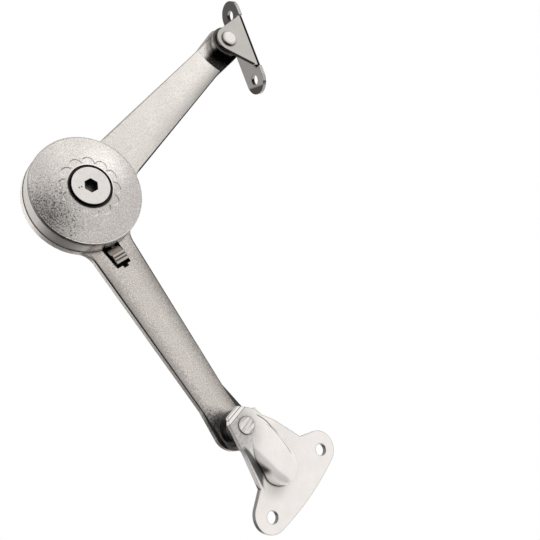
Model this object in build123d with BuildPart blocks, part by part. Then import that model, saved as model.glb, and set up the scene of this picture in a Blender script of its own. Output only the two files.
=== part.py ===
from build123d import *
import math
import os

os.makedirs("parts", exist_ok=True)

# ---------------------------------------------------------------- driving dimensions (mm)
# Frame: origin midway between the cabinet screw holes on the wall face, X right, Z up,
# front towards -Y. Every height below is measured from the wall towards the front.

# pivots and arms; the cabinet pivot is given in the bracket's own frame, whose x runs along
# the row of screw holes and whose y runs towards the pivot
PIVOT_X = -4.08                 # cabinet pivot along the row of holes
PIVOT_Y = 31.56                 # cabinet pivot above the row of holes
UPPER_ANGLE = 46.92             # direction of the upper arm from +X, towards +Z
UPPER_REACH = 93.7              # elbow to lid pivot
LOWER_ANGLE = -60.47            # direction of the lower arm
LOWER_REACH = 96.2              # elbow to cabinet pivot
CABINET_ANGLE = 39.4            # direction of the row of cabinet screw holes

# heights of the layers
WALL_GAP = 0.6                  # lower arm clear of the cabinet wall
LOWER_THICK = 2.9               # lower arm plate
ARM_GAP = 0.3                   # between the two arms
DRUM_DEPTH = 6.0                # drum of the upper arm
COVER_RIM = 1.2                 # straight rim of the cover disc
DOME_RISE = 3.2                 # cover's dome above its rim
HEAD_PROUD = 0.8                # tension screw's head above the dome

# fits and shared small sizes
RUN_FIT = 0.05                  # running clearance on a radius
FREE_GAP = 0.3                  # free gap between moving pieces
SINK = 0.1                      # pieces that don't touch stay this far off the next face
OVER = 1.0                      # cuts run this far past the face they open
EDGE_CHAMFER = 0.3              # turned edges of washers and formed heads

# elbow head, drum and cover
HEAD_R = 19.8                   # round head of the lower arm
DRUM_R = 19.6                   # drum of the upper arm
DRUM_CAVITY_R = 16.4
DRUM_FLOOR = 1.6
COVER_R = 19.5
COVER_EDGE_R = 0.6              # rounding of the cover's rim
COVER_BORE_R = 7.65
COVER_THICK = 1.2
SPIGOT_DEPTH = 1.0              # cover's ring inside the drum
SPIGOT_THICK = 0.9
PETAL_COUNT = 12
PETAL_R = 2.05
PETAL_RING_R = 8.55
PETAL_RISE = 0.16               # embossed step of the rosette
SEAL_DEPTH = 1.1
SEAL_SINK = 0.5                 # seal below the cover's bore edge

# friction pack
STUD_R = 5.0
STUD_FLANGE_R = 7.0
STUD_FLANGE_DEPTH = 0.9
STUD_TOP = 11.0
SCREW_R = 3.0                   # M6 shank
THREAD_FIT = 0.05
SCREW_HEAD_R = 6.65
SCREW_HEAD_DEPTH = 2.8
SCREW_TIP = 3.2
SOCKET_FLATS = 4.4              # hexagon socket across flats
SOCKET_DEPTH = 3.2
CLUTCH_R = 14.2
CLUTCH_TEETH = 24
CLUTCH_NOTCH = 0.8              # depth of a notch
CLUTCH_NOTCH_WIDTH = 2.0
CLUTCH_THICK = 1.4
CLUTCH_BASE = 1.9
SLEEVE_R = 7.6
SLEEVE_FLATS = 13.0             # across the two flats that key the inner plates
SLEEVE_TOP = 9.0
PLATE_THICK = 0.8
PLATE_R = 14.6
PRESSURE_THICK = 1.0
SPRING_R = 11.6
SPRING_BORE_R = 5.3
SPRING_SHEET = 0.8
THRUST_R = 6.4
THRUST_THICK = 0.8
GLIDE_IN_R = 14.9
GLIDE_OUT_R = 16.3
GLIDE_THICK = 0.6
KEY_WIDTH = 3.0                 # tabs of the outer friction plate
KEY_DEPTH = 1.0
KEY_COUNT = 3

# elbow stop
STOP_R = 17.9                   # circle of the stop pin
STOP_PIN_R = 0.8
STOP_RISE = 1.3
STOP_OPEN = 68.0                # travel from the rest pose, opening
STOP_CLOSE = 62.0               # travel from the rest pose, folding

# upper arm
UPPER_ROOT_HALF = 8.75          # left edge at the elbow; the right edge stands further out
UPPER_ROOT_RIGHT = 9.15
UPPER_TIP_LEFT = 5.85           # edges at the end of the face
UPPER_TIP_RIGHT = 6.25
UPPER_FACE_CUT_R = 14.6         # round end of the arm's face about the lid pivot
UPPER_CROWN = 0.6
UPPER_ROOT_FILLET = 4.0
POCKET_WALL = 1.8
POCKET_START = 23.6             # hollow back, from the drum to the end of the face
POCKET_ROOT_HALF = 6.15
POCKET_END_WALL = 3.0
POCKET_DEPTH = 3.6
RIB_THICK = 1.2
TONGUE_R = 7.1
TONGUE_THICK = 3.0
LID_BOSS_R = 5.9
LID_BOSS_TOP = 9.5

# lower arm
LOWER_ROOT_HALF = 8.6           # right edge at the elbow; the left edge stands further out
LOWER_ROOT_LEFT = 9.3
LOWER_TIP_LEFT = 6.7            # edges before they turn outwards to the end
LOWER_TIP_RIGHT = 5.4
LOWER_WAIST_LEFT = 84.2
LOWER_WAIST_RIGHT = 81.3
LOWER_FLARE = 13.0              # lean of the end's right edge
LOWER_END_R = 7.8
LOWER_CROWN = 0.7
LOWER_ROOT_FILLET = 6.5
CABINET_BOSS_R = 6.1
CABINET_BOSS_TOP = 7.9

# slider, its window and its spring
WINDOW_START = 17.0
WINDOW_END = 27.3
WINDOW_LEFT = -3.3
WINDOW_RIGHT = 2.4
WINDOW_SPLAY = 1.4              # left edge leans outwards towards the elbow
BUTTON_START = 20.3
BUTTON_END = 26.1
BUTTON_TOP = 4.9
RAMP_LOW = 3.0                  # ramp before the ribs, at its two ends
RAMP_HIGH = 3.8
RIB_START = 22.6
RIB_COUNT = 3
RIB_DEPTH = 0.5
RIB_GROOVE = 0.45
PAWL_WIDTH = 1.4
PAWL_THICK = 1.2
SLIDE_TRAVEL = 0.9
BACK_PLATE_THICK = 0.6
BACK_PLATE_WALL = 1.4
FLANGE_THICK = 0.7
LEAF_THICK = 0.3
LEAF_START = 19.4
LEAF_END = 26.4
LEAF_SEAT = 4.6                 # leaf's straight ends from the slider's middle
LEAF_TIP = 3.5
LEAF_SLOT = 4.9
LEAF_MID = 22.9                 # leaf's tip along the arm, in the first seat
LEAF_BUMP = 1.3                 # half length of the tip's bump
LEAF_BEND_R = 0.35
SEAT_RUN = 4.4                  # shallow run of the tip along the flange's edge
SEAT_R = 0.4

# cabinet bracket
SHEET = 2.0
HOLE_R = 2.25
HOLE_HALF_SPACING = 16.0
LOBE_X = 15.5
LOBE_Y = 0.8
LOBE_R = 6.8
EDGE_BOW = -7.2                 # lowest point of the long bowed edge
SHOULDER_Y = 9.9
SHOULDER_HALF = 12.6
LUG_TOP = 11.8                  # front of the raised lug
BEND_LOW = 9.2                  # where the neck leaves the base
NECK_END = 5.76                 # where the neck meets the lug, short of the pivot
BEND_R = 8.0                    # soft bend between the base and the neck
BROW_R = 10.0                   # soft bend between the neck and the lug
LUG_AHEAD = 6.74                # lug beyond the pivot
LUG_BEVEL = 1.9
LUG_BEVEL_DROP = 0.45
LUG_RIGHT = 7.1                 # lug beside the pivot, on each side
LUG_LEFT = 7.3
LUG_TIP_HALF = 2.75
LUG_CORNER = 1.7                # lug's right corner beyond the pivot
FINGER_OFFSET = 1.7             # finger's middle beside the pivot
FINGER_HALF = 6.9               # half width of the finger at the lug
NOSE_HALF = 5.9                 # half width where its nose begins
NOSE_LENGTH = 7.6
FINGER_TIP = 3.3
FINGER_CREST = 12.5             # where the crest starts to come down
NOSE_HEIGHT = 6.9               # crest at the tip, before it is rounded
FINGER_AHEAD = 2.0              # finger's end beyond the pivot
FINGER_ROUND = 4.0              # rounding of the finger
FINGER_CORNER = 2.5
CABINET_RIVET_HEAD_R = 3.05
CABINET_RIVET_HEAD = 0.5
CABINET_RIVET_R = 2.9
CABINET_RIVET_SHANK_R = 2.4
FORMED_HEAD_R = 4.2
FORMED_HEAD_THICK = 1.1
CABINET_WASHER_R = 6.1
RIVET_CHAMFER = 0.2             # rim of the flat rivet head

# lid bracket
LID_SHEET = 1.5
LID_TOP = 12.0                  # front of the ear
LID_FOLD_ANGLE = -76.15         # direction of the fold
LID_FOLD_REACH = 11.0           # lid pivot to the plate's outer face
EAR_R = 5.1
EAR_BACK = 10.1                 # ear along the fold, behind and ahead of the pivot
EAR_AHEAD = 12.2
LID_HOLE_SPACING = 29.6
LID_HOLE_SHIFT = 1.3            # middle of the plate from the pivot, along the fold
LID_HOLE_R = 2.1
LID_PLATE_HALF = 5.85
FOLD_R = 1.2
FOLD_GROOVE = 0.4
LID_RIVET_HEAD_R = 3.2
LID_RIVET_HEAD = 1.2
LID_RIVET_R = 2.7
LID_RIVET_SHANK_R = 2.2
LID_WASHER_R = 6.2
LID_FORMED_R = 3.9

# ---------------------------------------------------------------- derived sizes
LOWER_TOP = WALL_GAP + LOWER_THICK
UPPER_BACK = LOWER_TOP + ARM_GAP
DRUM_TOP = UPPER_BACK + DRUM_DEPTH
COVER_TOP = DRUM_TOP + COVER_RIM
DOME_TOP = COVER_TOP + DOME_RISE
HEAD_TOP = DOME_TOP + HEAD_PROUD
HEAD_UNDER = HEAD_TOP - SCREW_HEAD_DEPTH
FLOOR_TOP = UPPER_BACK + DRUM_FLOOR
PACK_1 = FLOOR_TOP + PLATE_THICK
PACK_2 = PACK_1 + PLATE_THICK
PACK_3 = PACK_2 + PLATE_THICK
PRESSURE_TOP = PACK_3 + PRESSURE_THICK
SPRINGS_TOP = HEAD_UNDER - THRUST_THICK
CLUTCH_TOP = CLUTCH_BASE + CLUTCH_THICK
TONGUE_TOP = UPPER_BACK + TONGUE_THICK
LUG_BACK = LUG_TOP - SHEET
BEND_HIGH = PIVOT_Y - NECK_END
LUG_END = PIVOT_Y + LUG_AHEAD
LUG_BEVEL_START = LUG_END - LUG_BEVEL
FINGER_X = PIVOT_X + FINGER_OFFSET
FINGER_END = PIVOT_Y + FINGER_AHEAD
EAR_UNDER = LID_TOP - LID_SHEET
ROW_COS = math.cos(math.radians(CABINET_ANGLE))
ROW_SIN = math.sin(math.radians(CABINET_ANGLE))
CABINET_X = PIVOT_X * ROW_COS - PIVOT_Y * ROW_SIN
CABINET_Z = PIVOT_X * ROW_SIN + PIVOT_Y * ROW_COS
ELBOW_X = CABINET_X - LOWER_REACH * math.cos(math.radians(LOWER_ANGLE))
ELBOW_Z = CABINET_Z - LOWER_REACH * math.sin(math.radians(LOWER_ANGLE))


def pivot_at(angle, reach):
    """Point at a distance from the elbow along a direction in the X-Z plane."""
    turn = math.radians(angle)
    return ELBOW_X + reach * math.cos(turn), ELBOW_Z + reach * math.sin(turn)


def layer(x, z, angle, height):
    """Plane parallel to the wall at a height, facing the front, its x along the angle."""
    turn = math.radians(angle)
    return Plane(origin=(x, -height, z), x_dir=(math.cos(turn), 0, math.sin(turn)), z_dir=(0, -1, 0))


def side(x, z, angle):
    """Plane upright on the wall: x along the angle, y towards the front."""
    turn = math.radians(angle)
    return Plane(origin=(x, 0, z), x_dir=(math.cos(turn), 0, math.sin(turn)),
                 z_dir=(math.sin(turn), 0, -math.cos(turn)))


LID_X, LID_Z = pivot_at(UPPER_ANGLE, UPPER_REACH)


def upper(height):
    return layer(ELBOW_X, ELBOW_Z, UPPER_ANGLE, height)


def lower(height):
    return layer(ELBOW_X, ELBOW_Z, LOWER_ANGLE, height)


def bracket(height):
    return layer(0, 0, CABINET_ANGLE, height)


def tangent(px, py, radius, turn):
    """Point where the line from (px, py) touches a circle about the origin."""
    angle = math.atan2(py, px) + turn * math.acos(radius / math.hypot(px, py))
    return radius * math.cos(angle), radius * math.sin(angle)


ELBOW_AXIS = Axis((ELBOW_X, 0, ELBOW_Z), (0, -1, 0))


# ---------------------------------------------------------------- lower arm
LOWER_CROWN_R = (LOWER_ROOT_HALF ** 2 + LOWER_CROWN ** 2) / (2 * LOWER_CROWN)
FLARE = math.radians(LOWER_FLARE)

with BuildPart() as lower_arm:
    with BuildSketch(lower(WALL_GAP)):
        Circle(HEAD_R)
        Polygon(
            (STUD_R, LOWER_ROOT_HALF),
            (STUD_R, -LOWER_ROOT_LEFT),
            (LOWER_WAIST_LEFT, -LOWER_TIP_LEFT),
            (LOWER_REACH, -LOWER_END_R),
            (LOWER_REACH, 0.0),
            (LOWER_REACH - LOWER_END_R * math.sin(FLARE), LOWER_END_R * math.cos(FLARE)),
            (LOWER_WAIST_RIGHT, LOWER_TIP_RIGHT),
            align=None,
        )
        with Locations((LOWER_REACH, 0)):
            Circle(LOWER_END_R)
    extrude(amount=LOWER_THICK)
    _inner_roots = edges().filter_by(Axis.Y).filter_by(
        lambda e: abs((e.center() - Vector(ELBOW_X, e.center().Y, ELBOW_Z)).length - HEAD_R) < 0.6)
    fillet(_inner_roots, radius=LOWER_ROOT_FILLET)
    # crowned face beyond the head
    with BuildSketch(Plane(origin=(ELBOW_X, 0, ELBOW_Z),
                           x_dir=(0, -1, 0),
                           z_dir=lower(0).x_dir)):
        with Locations((LOWER_TOP - LOWER_CROWN_R, 0)):
            Circle(LOWER_CROWN_R)
    extrude(amount=LOWER_REACH * 1.3, both=True, mode=Mode.INTERSECT)
    # flat round head
    with BuildSketch(lower(WALL_GAP)):
        Circle(HEAD_R)
    extrude(amount=LOWER_THICK)
    # end boss
    with BuildSketch(layer(CABINET_X, CABINET_Z, LOWER_ANGLE, WALL_GAP)):
        Circle(CABINET_BOSS_R)
    extrude(amount=CABINET_BOSS_TOP - WALL_GAP)
    # stop pin
    with BuildSketch(lower(LOWER_TOP)):
        with PolarLocations(STOP_R, 1, start_angle=180):
            Circle(STOP_PIN_R)
    extrude(amount=STOP_RISE)
    # pivot bore and the sink for the formed rivet head
    with BuildSketch(layer(CABINET_X, CABINET_Z, LOWER_ANGLE, 0)):
        Circle(CABINET_RIVET_R + RUN_FIT)
    extrude(amount=CABINET_BOSS_TOP + OVER, mode=Mode.SUBTRACT)
    with BuildSketch(layer(CABINET_X, CABINET_Z, LOWER_ANGLE, 0)):
        Circle(FORMED_HEAD_R + FREE_GAP)
    extrude(amount=WALL_GAP + FORMED_HEAD_THICK + SINK, mode=Mode.SUBTRACT)
    # seat of the stud and recess of the clutch ring
    with BuildSketch(lower(0)):
        Circle(STUD_R)
    extrude(amount=LOWER_TOP + OVER, mode=Mode.SUBTRACT)
    with BuildSketch(lower(0)):
        Circle(STUD_FLANGE_R)
    extrude(amount=WALL_GAP + STUD_FLANGE_DEPTH, mode=Mode.SUBTRACT)
    with BuildSketch(lower(CLUTCH_BASE - SINK)):
        Circle(CLUTCH_R + FREE_GAP)
    extrude(amount=LOWER_TOP, mode=Mode.SUBTRACT)
    # window of the slider, the pawl's channel and the pocket of the flange behind
    with BuildSketch(lower(0)):
        Polygon(
            (WINDOW_START, WINDOW_RIGHT),
            (WINDOW_START, WINDOW_LEFT - WINDOW_SPLAY),
            (WINDOW_END, WINDOW_LEFT),
            (WINDOW_END, WINDOW_RIGHT),
            align=None,
        )
    extrude(amount=LOWER_TOP + OVER, mode=Mode.SUBTRACT)
    with BuildSketch(lower(CLUTCH_BASE - SINK)):
        with Locations(((CLUTCH_R + WINDOW_END) / 2, 0)):
            Rectangle(WINDOW_END - CLUTCH_R + 2, PAWL_WIDTH + 2 * FREE_GAP)
    extrude(amount=LOWER_TOP, mode=Mode.SUBTRACT)
    with BuildSketch(lower(0)):
        with Locations(((WINDOW_START + WINDOW_END) / 2, (WINDOW_LEFT + WINDOW_RIGHT) / 2)):
            Rectangle(WINDOW_END - WINDOW_START + 2 * BACK_PLATE_WALL,
                      WINDOW_RIGHT - WINDOW_LEFT + 2 * BACK_PLATE_WALL)
    extrude(amount=WALL_GAP + BACK_PLATE_THICK + FLANGE_THICK + SINK, mode=Mode.SUBTRACT)
    # slot of the leaf spring beside the flange
    with BuildSketch(lower(0)):
        with Locations(((LEAF_START + LEAF_END) / 2, (LEAF_SLOT + LEAF_TIP) / 2)):
            Rectangle(LEAF_END - LEAF_START + 0.4, LEAF_SLOT - LEAF_TIP)
    extrude(amount=WALL_GAP + BACK_PLATE_THICK + FLANGE_THICK + SINK, mode=Mode.SUBTRACT)

lower_arm.part.label = "lower_arm"
export_step(lower_arm.part, "parts/lower_arm.step")

# ---------------------------------------------------------------- elbow stud
with BuildPart() as elbow_stud:
    with BuildSketch(lower(WALL_GAP + SINK)):
        Circle(STUD_FLANGE_R)
    extrude(amount=STUD_FLANGE_DEPTH - SINK)
    with BuildSketch(lower(WALL_GAP + SINK)):
        Circle(STUD_R)
    extrude(amount=STUD_TOP - WALL_GAP - SINK)
    chamfer(faces().sort_by(Axis.Y)[0].edges(), length=0.4)
    with BuildSketch(lower(WALL_GAP + 1.0)):
        Circle(SCREW_R + THREAD_FIT)
    extrude(amount=STUD_TOP, mode=Mode.SUBTRACT)

elbow_stud.part.label = "elbow_stud"
export_step(elbow_stud.part, "parts/elbow_stud.step")

# ---------------------------------------------------------------- clutch ring
with BuildPart() as clutch_ring:
    with BuildSketch(lower(CLUTCH_BASE)):
        Circle(CLUTCH_R)
        with PolarLocations(CLUTCH_R, CLUTCH_TEETH):
            Rectangle(2 * CLUTCH_NOTCH, CLUTCH_NOTCH_WIDTH, mode=Mode.SUBTRACT)
    extrude(amount=CLUTCH_THICK)
    with BuildSketch(lower(CLUTCH_TOP)):
        Circle(SLEEVE_R)
    extrude(amount=FLOOR_TOP - CLUTCH_TOP)
    with BuildSketch(lower(FLOOR_TOP)) as _keyed:
        Circle(SLEEVE_R)
        Rectangle(2 * SLEEVE_R, SLEEVE_FLATS, mode=Mode.INTERSECT)
    extrude(amount=SLEEVE_TOP - FLOOR_TOP - FREE_GAP)
    with BuildSketch(lower(CLUTCH_BASE)):
        Circle(STUD_R + RUN_FIT)
    extrude(amount=SLEEVE_TOP, mode=Mode.SUBTRACT)

clutch_ring.part.label = "clutch_ring"
export_step(clutch_ring.part, "parts/clutch_ring.step")

# ---------------------------------------------------------------- friction pack
with BuildPart() as glide_washer:
    with BuildSketch(lower(LOWER_TOP)):
        Circle(GLIDE_OUT_R)
        Circle(GLIDE_IN_R, mode=Mode.SUBTRACT)
    extrude(amount=GLIDE_THICK)

glide_washer.part.label = "glide_washer"
export_step(glide_washer.part, "parts/glide_washer.step")

with BuildPart() as inner_friction_plates:
    for base in (FLOOR_TOP, PACK_2):
        with BuildSketch(lower(base)):
            Circle(PLATE_R)
        extrude(amount=PLATE_THICK)
    with BuildSketch(lower(FLOOR_TOP)):
        Circle(SLEEVE_R + RUN_FIT)
        Rectangle(2 * SLEEVE_R + 1, SLEEVE_FLATS + 2 * RUN_FIT, mode=Mode.INTERSECT)
    extrude(amount=PACK_3, mode=Mode.SUBTRACT)

inner_friction_plates.part.label = "inner_friction_plates"
export_step(inner_friction_plates.part, "parts/inner_friction_plates.step")

with BuildPart() as outer_friction_plate:
    with BuildSketch(upper(PACK_1)):
        Circle(DRUM_CAVITY_R - FREE_GAP)
        with PolarLocations(DRUM_CAVITY_R - 1, KEY_COUNT, start_angle=180):
            Rectangle(2 * (KEY_DEPTH + 1) - 0.3, KEY_WIDTH - 0.1)
        Circle(SLEEVE_R + FREE_GAP, mode=Mode.SUBTRACT)
    extrude(amount=PLATE_THICK)

outer_friction_plate.part.label = "outer_friction_plate"
export_step(outer_friction_plate.part, "parts/outer_friction_plate.step")

with BuildPart() as pressure_plate:
    with BuildSketch(lower(PACK_3)):
        Circle(PLATE_R - 0.6)
        Circle(STUD_R + FREE_GAP, mode=Mode.SUBTRACT)
    extrude(amount=PRESSURE_THICK)
    with BuildSketch(lower(PACK_3)):
        Circle(SLEEVE_R + FREE_GAP)
    extrude(amount=SLEEVE_TOP - PACK_3 - FREE_GAP + 0.1, mode=Mode.SUBTRACT)

pressure_plate.part.label = "pressure_plate"
export_step(pressure_plate.part, "parts/pressure_plate.step")

SPRING_MIDDLE = (PRESSURE_TOP + SPRINGS_TOP) / 2
with BuildPart() as disc_springs:
    with BuildSketch(side(ELBOW_X, ELBOW_Z, LOWER_ANGLE)):
        Polygon(
            (SPRING_BORE_R, PRESSURE_TOP),
            (SPRING_R, SPRING_MIDDLE - SPRING_SHEET),
            (SPRING_R, SPRING_MIDDLE),
            (SPRING_BORE_R, PRESSURE_TOP + SPRING_SHEET),
            align=None,
        )
        Polygon(
            (SPRING_BORE_R, SPRINGS_TOP - SPRING_SHEET),
            (SPRING_R, SPRING_MIDDLE),
            (SPRING_R, SPRING_MIDDLE + SPRING_SHEET),
            (SPRING_BORE_R, SPRINGS_TOP),
            align=None,
        )
    revolve(axis=ELBOW_AXIS)

disc_springs.part.label = "disc_springs"
export_step(disc_springs.part, "parts/disc_springs.step")

with BuildPart() as thrust_washer:
    with BuildSketch(lower(SPRINGS_TOP)):
        Circle(THRUST_R)
        Circle(SCREW_R + FREE_GAP, mode=Mode.SUBTRACT)
    extrude(amount=THRUST_THICK)

thrust_washer.part.label = "thrust_washer"
export_step(thrust_washer.part, "parts/thrust_washer.step")

# ---------------------------------------------------------------- tension screw
with BuildPart() as tension_screw:
    with BuildSketch(lower(HEAD_UNDER)):
        Circle(SCREW_HEAD_R)
    extrude(amount=SCREW_HEAD_DEPTH)
    fillet(faces().sort_by(Axis.Y)[0].edges(), radius=0.35)
    with BuildSketch(lower(SCREW_TIP)):
        Circle(SCREW_R)
    extrude(amount=HEAD_UNDER - SCREW_TIP)
    chamfer(faces().sort_by(Axis.Y)[-1].edges(), length=0.6)
    with BuildSketch(layer(ELBOW_X, ELBOW_Z, 0, HEAD_TOP - SOCKET_DEPTH)):
        RegularPolygon(SOCKET_FLATS / 2, 6, major_radius=False, rotation=30)
    extrude(amount=SOCKET_DEPTH + OVER, mode=Mode.SUBTRACT)

tension_screw.part.label = "tension_screw"
export_step(tension_screw.part, "parts/tension_screw.step")

# ---------------------------------------------------------------- cover disc with its rosette
DOME_R = ((COVER_R - COVER_EDGE_R) ** 2 - COVER_BORE_R ** 2) / (2 * DOME_RISE)


def dome(radius, lift):
    """Height of the dome's surface at a radius from the elbow axis, moved by a lift."""
    return DOME_TOP + lift - (radius ** 2 - COVER_BORE_R ** 2) / (2 * DOME_R)


MID_R = (COVER_BORE_R + COVER_R) / 2
SPIGOT_R = DRUM_CAVITY_R - RUN_FIT
ROSETTE_R = PETAL_RING_R + PETAL_R + 0.6
with BuildPart() as rosette:
    with BuildSketch(side(ELBOW_X, ELBOW_Z, 0)):
        with BuildLine():
            _low = Line(
                (COVER_BORE_R, dome(COVER_BORE_R, -0.3)),
                (ROSETTE_R, dome(ROSETTE_R, -0.3)),
            )
            _high = Line(
                (ROSETTE_R, dome(ROSETTE_R, PETAL_RISE)),
                (COVER_BORE_R, dome(COVER_BORE_R, PETAL_RISE)),
            )
            Line(_low @ 1, _high @ 0)
            Line(_high @ 1, _low @ 0)
        make_face()
    revolve(axis=ELBOW_AXIS)
    with BuildSketch(layer(ELBOW_X, ELBOW_Z, 0, COVER_TOP)):
        Circle(PETAL_RING_R)
        with PolarLocations(PETAL_RING_R, PETAL_COUNT):
            Circle(PETAL_R)
        Circle(COVER_BORE_R, mode=Mode.SUBTRACT)
    extrude(amount=DOME_RISE * 2, mode=Mode.INTERSECT)

with BuildPart() as cover_disc:
    with BuildSketch(side(ELBOW_X, ELBOW_Z, 0)):
        with BuildLine():
            _outer = ThreePointArc(
                (COVER_BORE_R, DOME_TOP),
                (MID_R, dome(MID_R, 0)),
                (COVER_R - COVER_EDGE_R, COVER_TOP),
            )
            _edge = ThreePointArc(
                (COVER_R - COVER_EDGE_R, COVER_TOP),
                (COVER_R - 0.25 * COVER_EDGE_R, COVER_TOP - 0.35 * COVER_EDGE_R),
                (COVER_R, COVER_TOP - COVER_EDGE_R),
            )
            _base = Polyline(
                (COVER_R, COVER_TOP - COVER_EDGE_R),
                (COVER_R, DRUM_TOP),
                (SPIGOT_R, DRUM_TOP),
                (SPIGOT_R, DRUM_TOP - SPIGOT_DEPTH),
                (SPIGOT_R - SPIGOT_THICK, DRUM_TOP - SPIGOT_DEPTH),
                (SPIGOT_R - SPIGOT_THICK, dome(SPIGOT_R - SPIGOT_THICK, -COVER_THICK)),
            )
            _inner = Line(_base @ 1, (COVER_BORE_R, DOME_TOP - COVER_THICK))
            Line(_inner @ 1, _outer @ 0)
        make_face()
    revolve(axis=ELBOW_AXIS)
    add(rosette.part)

cover_disc.part.label = "cover_disc"
export_step(cover_disc.part, "parts/cover_disc.step")

with BuildPart() as cover_seal:
    with BuildSketch(lower(DOME_TOP - SEAL_SINK - SEAL_DEPTH)):
        Circle(COVER_BORE_R)
        Circle(SCREW_HEAD_R + FREE_GAP, mode=Mode.SUBTRACT)
    extrude(amount=SEAL_DEPTH)

cover_seal.part.label = "cover_seal"
export_step(cover_seal.part, "parts/cover_seal.step")

# ---------------------------------------------------------------- upper arm
UPPER_CROWN_R = (UPPER_ROOT_HALF ** 2 + UPPER_CROWN ** 2) / (2 * UPPER_CROWN)
FACE_END = UPPER_REACH - UPPER_FACE_CUT_R
GROOVE_TOP = LOWER_TOP + STOP_RISE + FREE_GAP
PIN_ANGLE = LOWER_ANGLE + 180 - UPPER_ANGLE
GROOVE_HALF = STOP_PIN_R + 0.2
GROOVE_END = math.degrees((STOP_PIN_R + 0.1) / STOP_R)
GROOVE_START = PIN_ANGLE - STOP_OPEN - GROOVE_END
GROOVE_SPAN = STOP_OPEN + STOP_CLOSE + 2 * GROOVE_END

with BuildPart() as upper_arm:
    with BuildSketch(upper(UPPER_BACK)):
        Circle(DRUM_R)
        Polygon(
            (STUD_R, UPPER_ROOT_HALF),
            (STUD_R, -UPPER_ROOT_RIGHT),
            (FACE_END, -UPPER_TIP_RIGHT),
            (UPPER_REACH, -TONGUE_R),
            (UPPER_REACH, TONGUE_R),
            (FACE_END, UPPER_TIP_LEFT),
            align=None,
        )
    extrude(amount=DRUM_DEPTH)
    _roots = edges().filter_by(Axis.Y).filter_by(
        lambda e: abs((e.center() - Vector(ELBOW_X, e.center().Y, ELBOW_Z)).length - DRUM_R) < 0.6)
    fillet(_roots.sort_by(Axis.X)[-1], radius=UPPER_ROOT_FILLET)
    with BuildSketch(Plane(origin=(ELBOW_X, 0, ELBOW_Z), x_dir=(0, -1, 0), z_dir=upper(0).x_dir)):
        with Locations((DRUM_TOP - UPPER_CROWN_R, 0)):
            Circle(UPPER_CROWN_R)
    extrude(amount=UPPER_REACH * 1.3, both=True, mode=Mode.INTERSECT)
    # the face ends in an arc about the lid pivot; the tongue goes on behind it
    with BuildSketch(layer(LID_X, LID_Z, UPPER_ANGLE, TONGUE_TOP)):
        Circle(UPPER_FACE_CUT_R)
    extrude(amount=DRUM_TOP, mode=Mode.SUBTRACT)
    with BuildSketch(layer(LID_X, LID_Z, UPPER_ANGLE, UPPER_BACK)):
        Circle(TONGUE_R)
    extrude(amount=TONGUE_THICK)
    with BuildSketch(layer(LID_X, LID_Z, UPPER_ANGLE, UPPER_BACK)):
        Circle(LID_BOSS_R)
    extrude(amount=LID_BOSS_TOP - UPPER_BACK)
    # drum, its cavity and the bore that runs on the clutch ring's sleeve
    with BuildSketch(upper(UPPER_BACK)):
        Circle(DRUM_R)
    extrude(amount=DRUM_DEPTH)
    with BuildSketch(upper(FLOOR_TOP)):
        Circle(DRUM_CAVITY_R)
        with PolarLocations(DRUM_CAVITY_R - 1, KEY_COUNT, start_angle=180):
            Rectangle(2 * (KEY_DEPTH + 1), KEY_WIDTH)
    extrude(amount=DRUM_DEPTH, mode=Mode.SUBTRACT)
    with BuildSketch(upper(0)):
        Circle(SLEEVE_R + RUN_FIT)
    extrude(amount=DRUM_TOP, mode=Mode.SUBTRACT)
    # recess over the glide washer and the groove of the stop pin
    with BuildSketch(upper(0)):
        Circle(GLIDE_OUT_R + FREE_GAP)
        Circle(GLIDE_IN_R - FREE_GAP, mode=Mode.SUBTRACT)
    extrude(amount=LOWER_TOP + GLIDE_THICK, mode=Mode.SUBTRACT)
    with BuildSketch(upper(0)):
        with BuildLine():
            _far = CenterArc((0, 0), STOP_R + GROOVE_HALF, GROOVE_START, GROOVE_SPAN)
            _near = CenterArc((0, 0), STOP_R - GROOVE_HALF, GROOVE_START, GROOVE_SPAN)
            Line(_far @ 0, _near @ 0)
            Line(_far @ 1, _near @ 1)
        make_face()
    extrude(amount=GROOVE_TOP, mode=Mode.SUBTRACT)
    # hollow back with one cross rib
    with BuildSketch(upper(0)):
        Polygon(
            (POCKET_START, POCKET_ROOT_HALF),
            (POCKET_START, -POCKET_ROOT_HALF),
            (FACE_END - POCKET_END_WALL, POCKET_WALL - UPPER_TIP_LEFT),
            (FACE_END - POCKET_END_WALL, UPPER_TIP_LEFT - POCKET_WALL),
            align=None,
        )
        with Locations(((POCKET_START + FACE_END) / 2, 0)):
            Rectangle(RIB_THICK, 2 * UPPER_ROOT_HALF, mode=Mode.SUBTRACT)
    extrude(amount=UPPER_BACK + POCKET_DEPTH, mode=Mode.SUBTRACT)
    # lid pivot's bore and the sink of its formed head
    with BuildSketch(layer(LID_X, LID_Z, UPPER_ANGLE, 0)):
        Circle(LID_RIVET_R + RUN_FIT)
    extrude(amount=LID_TOP, mode=Mode.SUBTRACT)
    with BuildSketch(layer(LID_X, LID_Z, UPPER_ANGLE, 0)):
        Circle(LID_FORMED_R + FREE_GAP)
    extrude(amount=UPPER_BACK + FORMED_HEAD_THICK + SINK, mode=Mode.SUBTRACT)

upper_arm.part.label = "upper_arm"
export_step(upper_arm.part, "parts/upper_arm.step")

# ---------------------------------------------------------------- slider
BUTTON_LEFT = WINDOW_LEFT + FREE_GAP
BUTTON_RIGHT = WINDOW_RIGHT - FREE_GAP
FLANGE_LEFT = WINDOW_LEFT - BACK_PLATE_WALL + FREE_GAP
FLANGE_RIGHT = WINDOW_RIGHT + BACK_PLATE_WALL - FREE_GAP
FLANGE_BASE = WALL_GAP + BACK_PLATE_THICK + SINK
FLANGE_END = WINDOW_END + BACK_PLATE_WALL - SLIDE_TRAVEL - FREE_GAP
RIB_PITCH = (BUTTON_END - RIB_START) / RIB_COUNT

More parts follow.
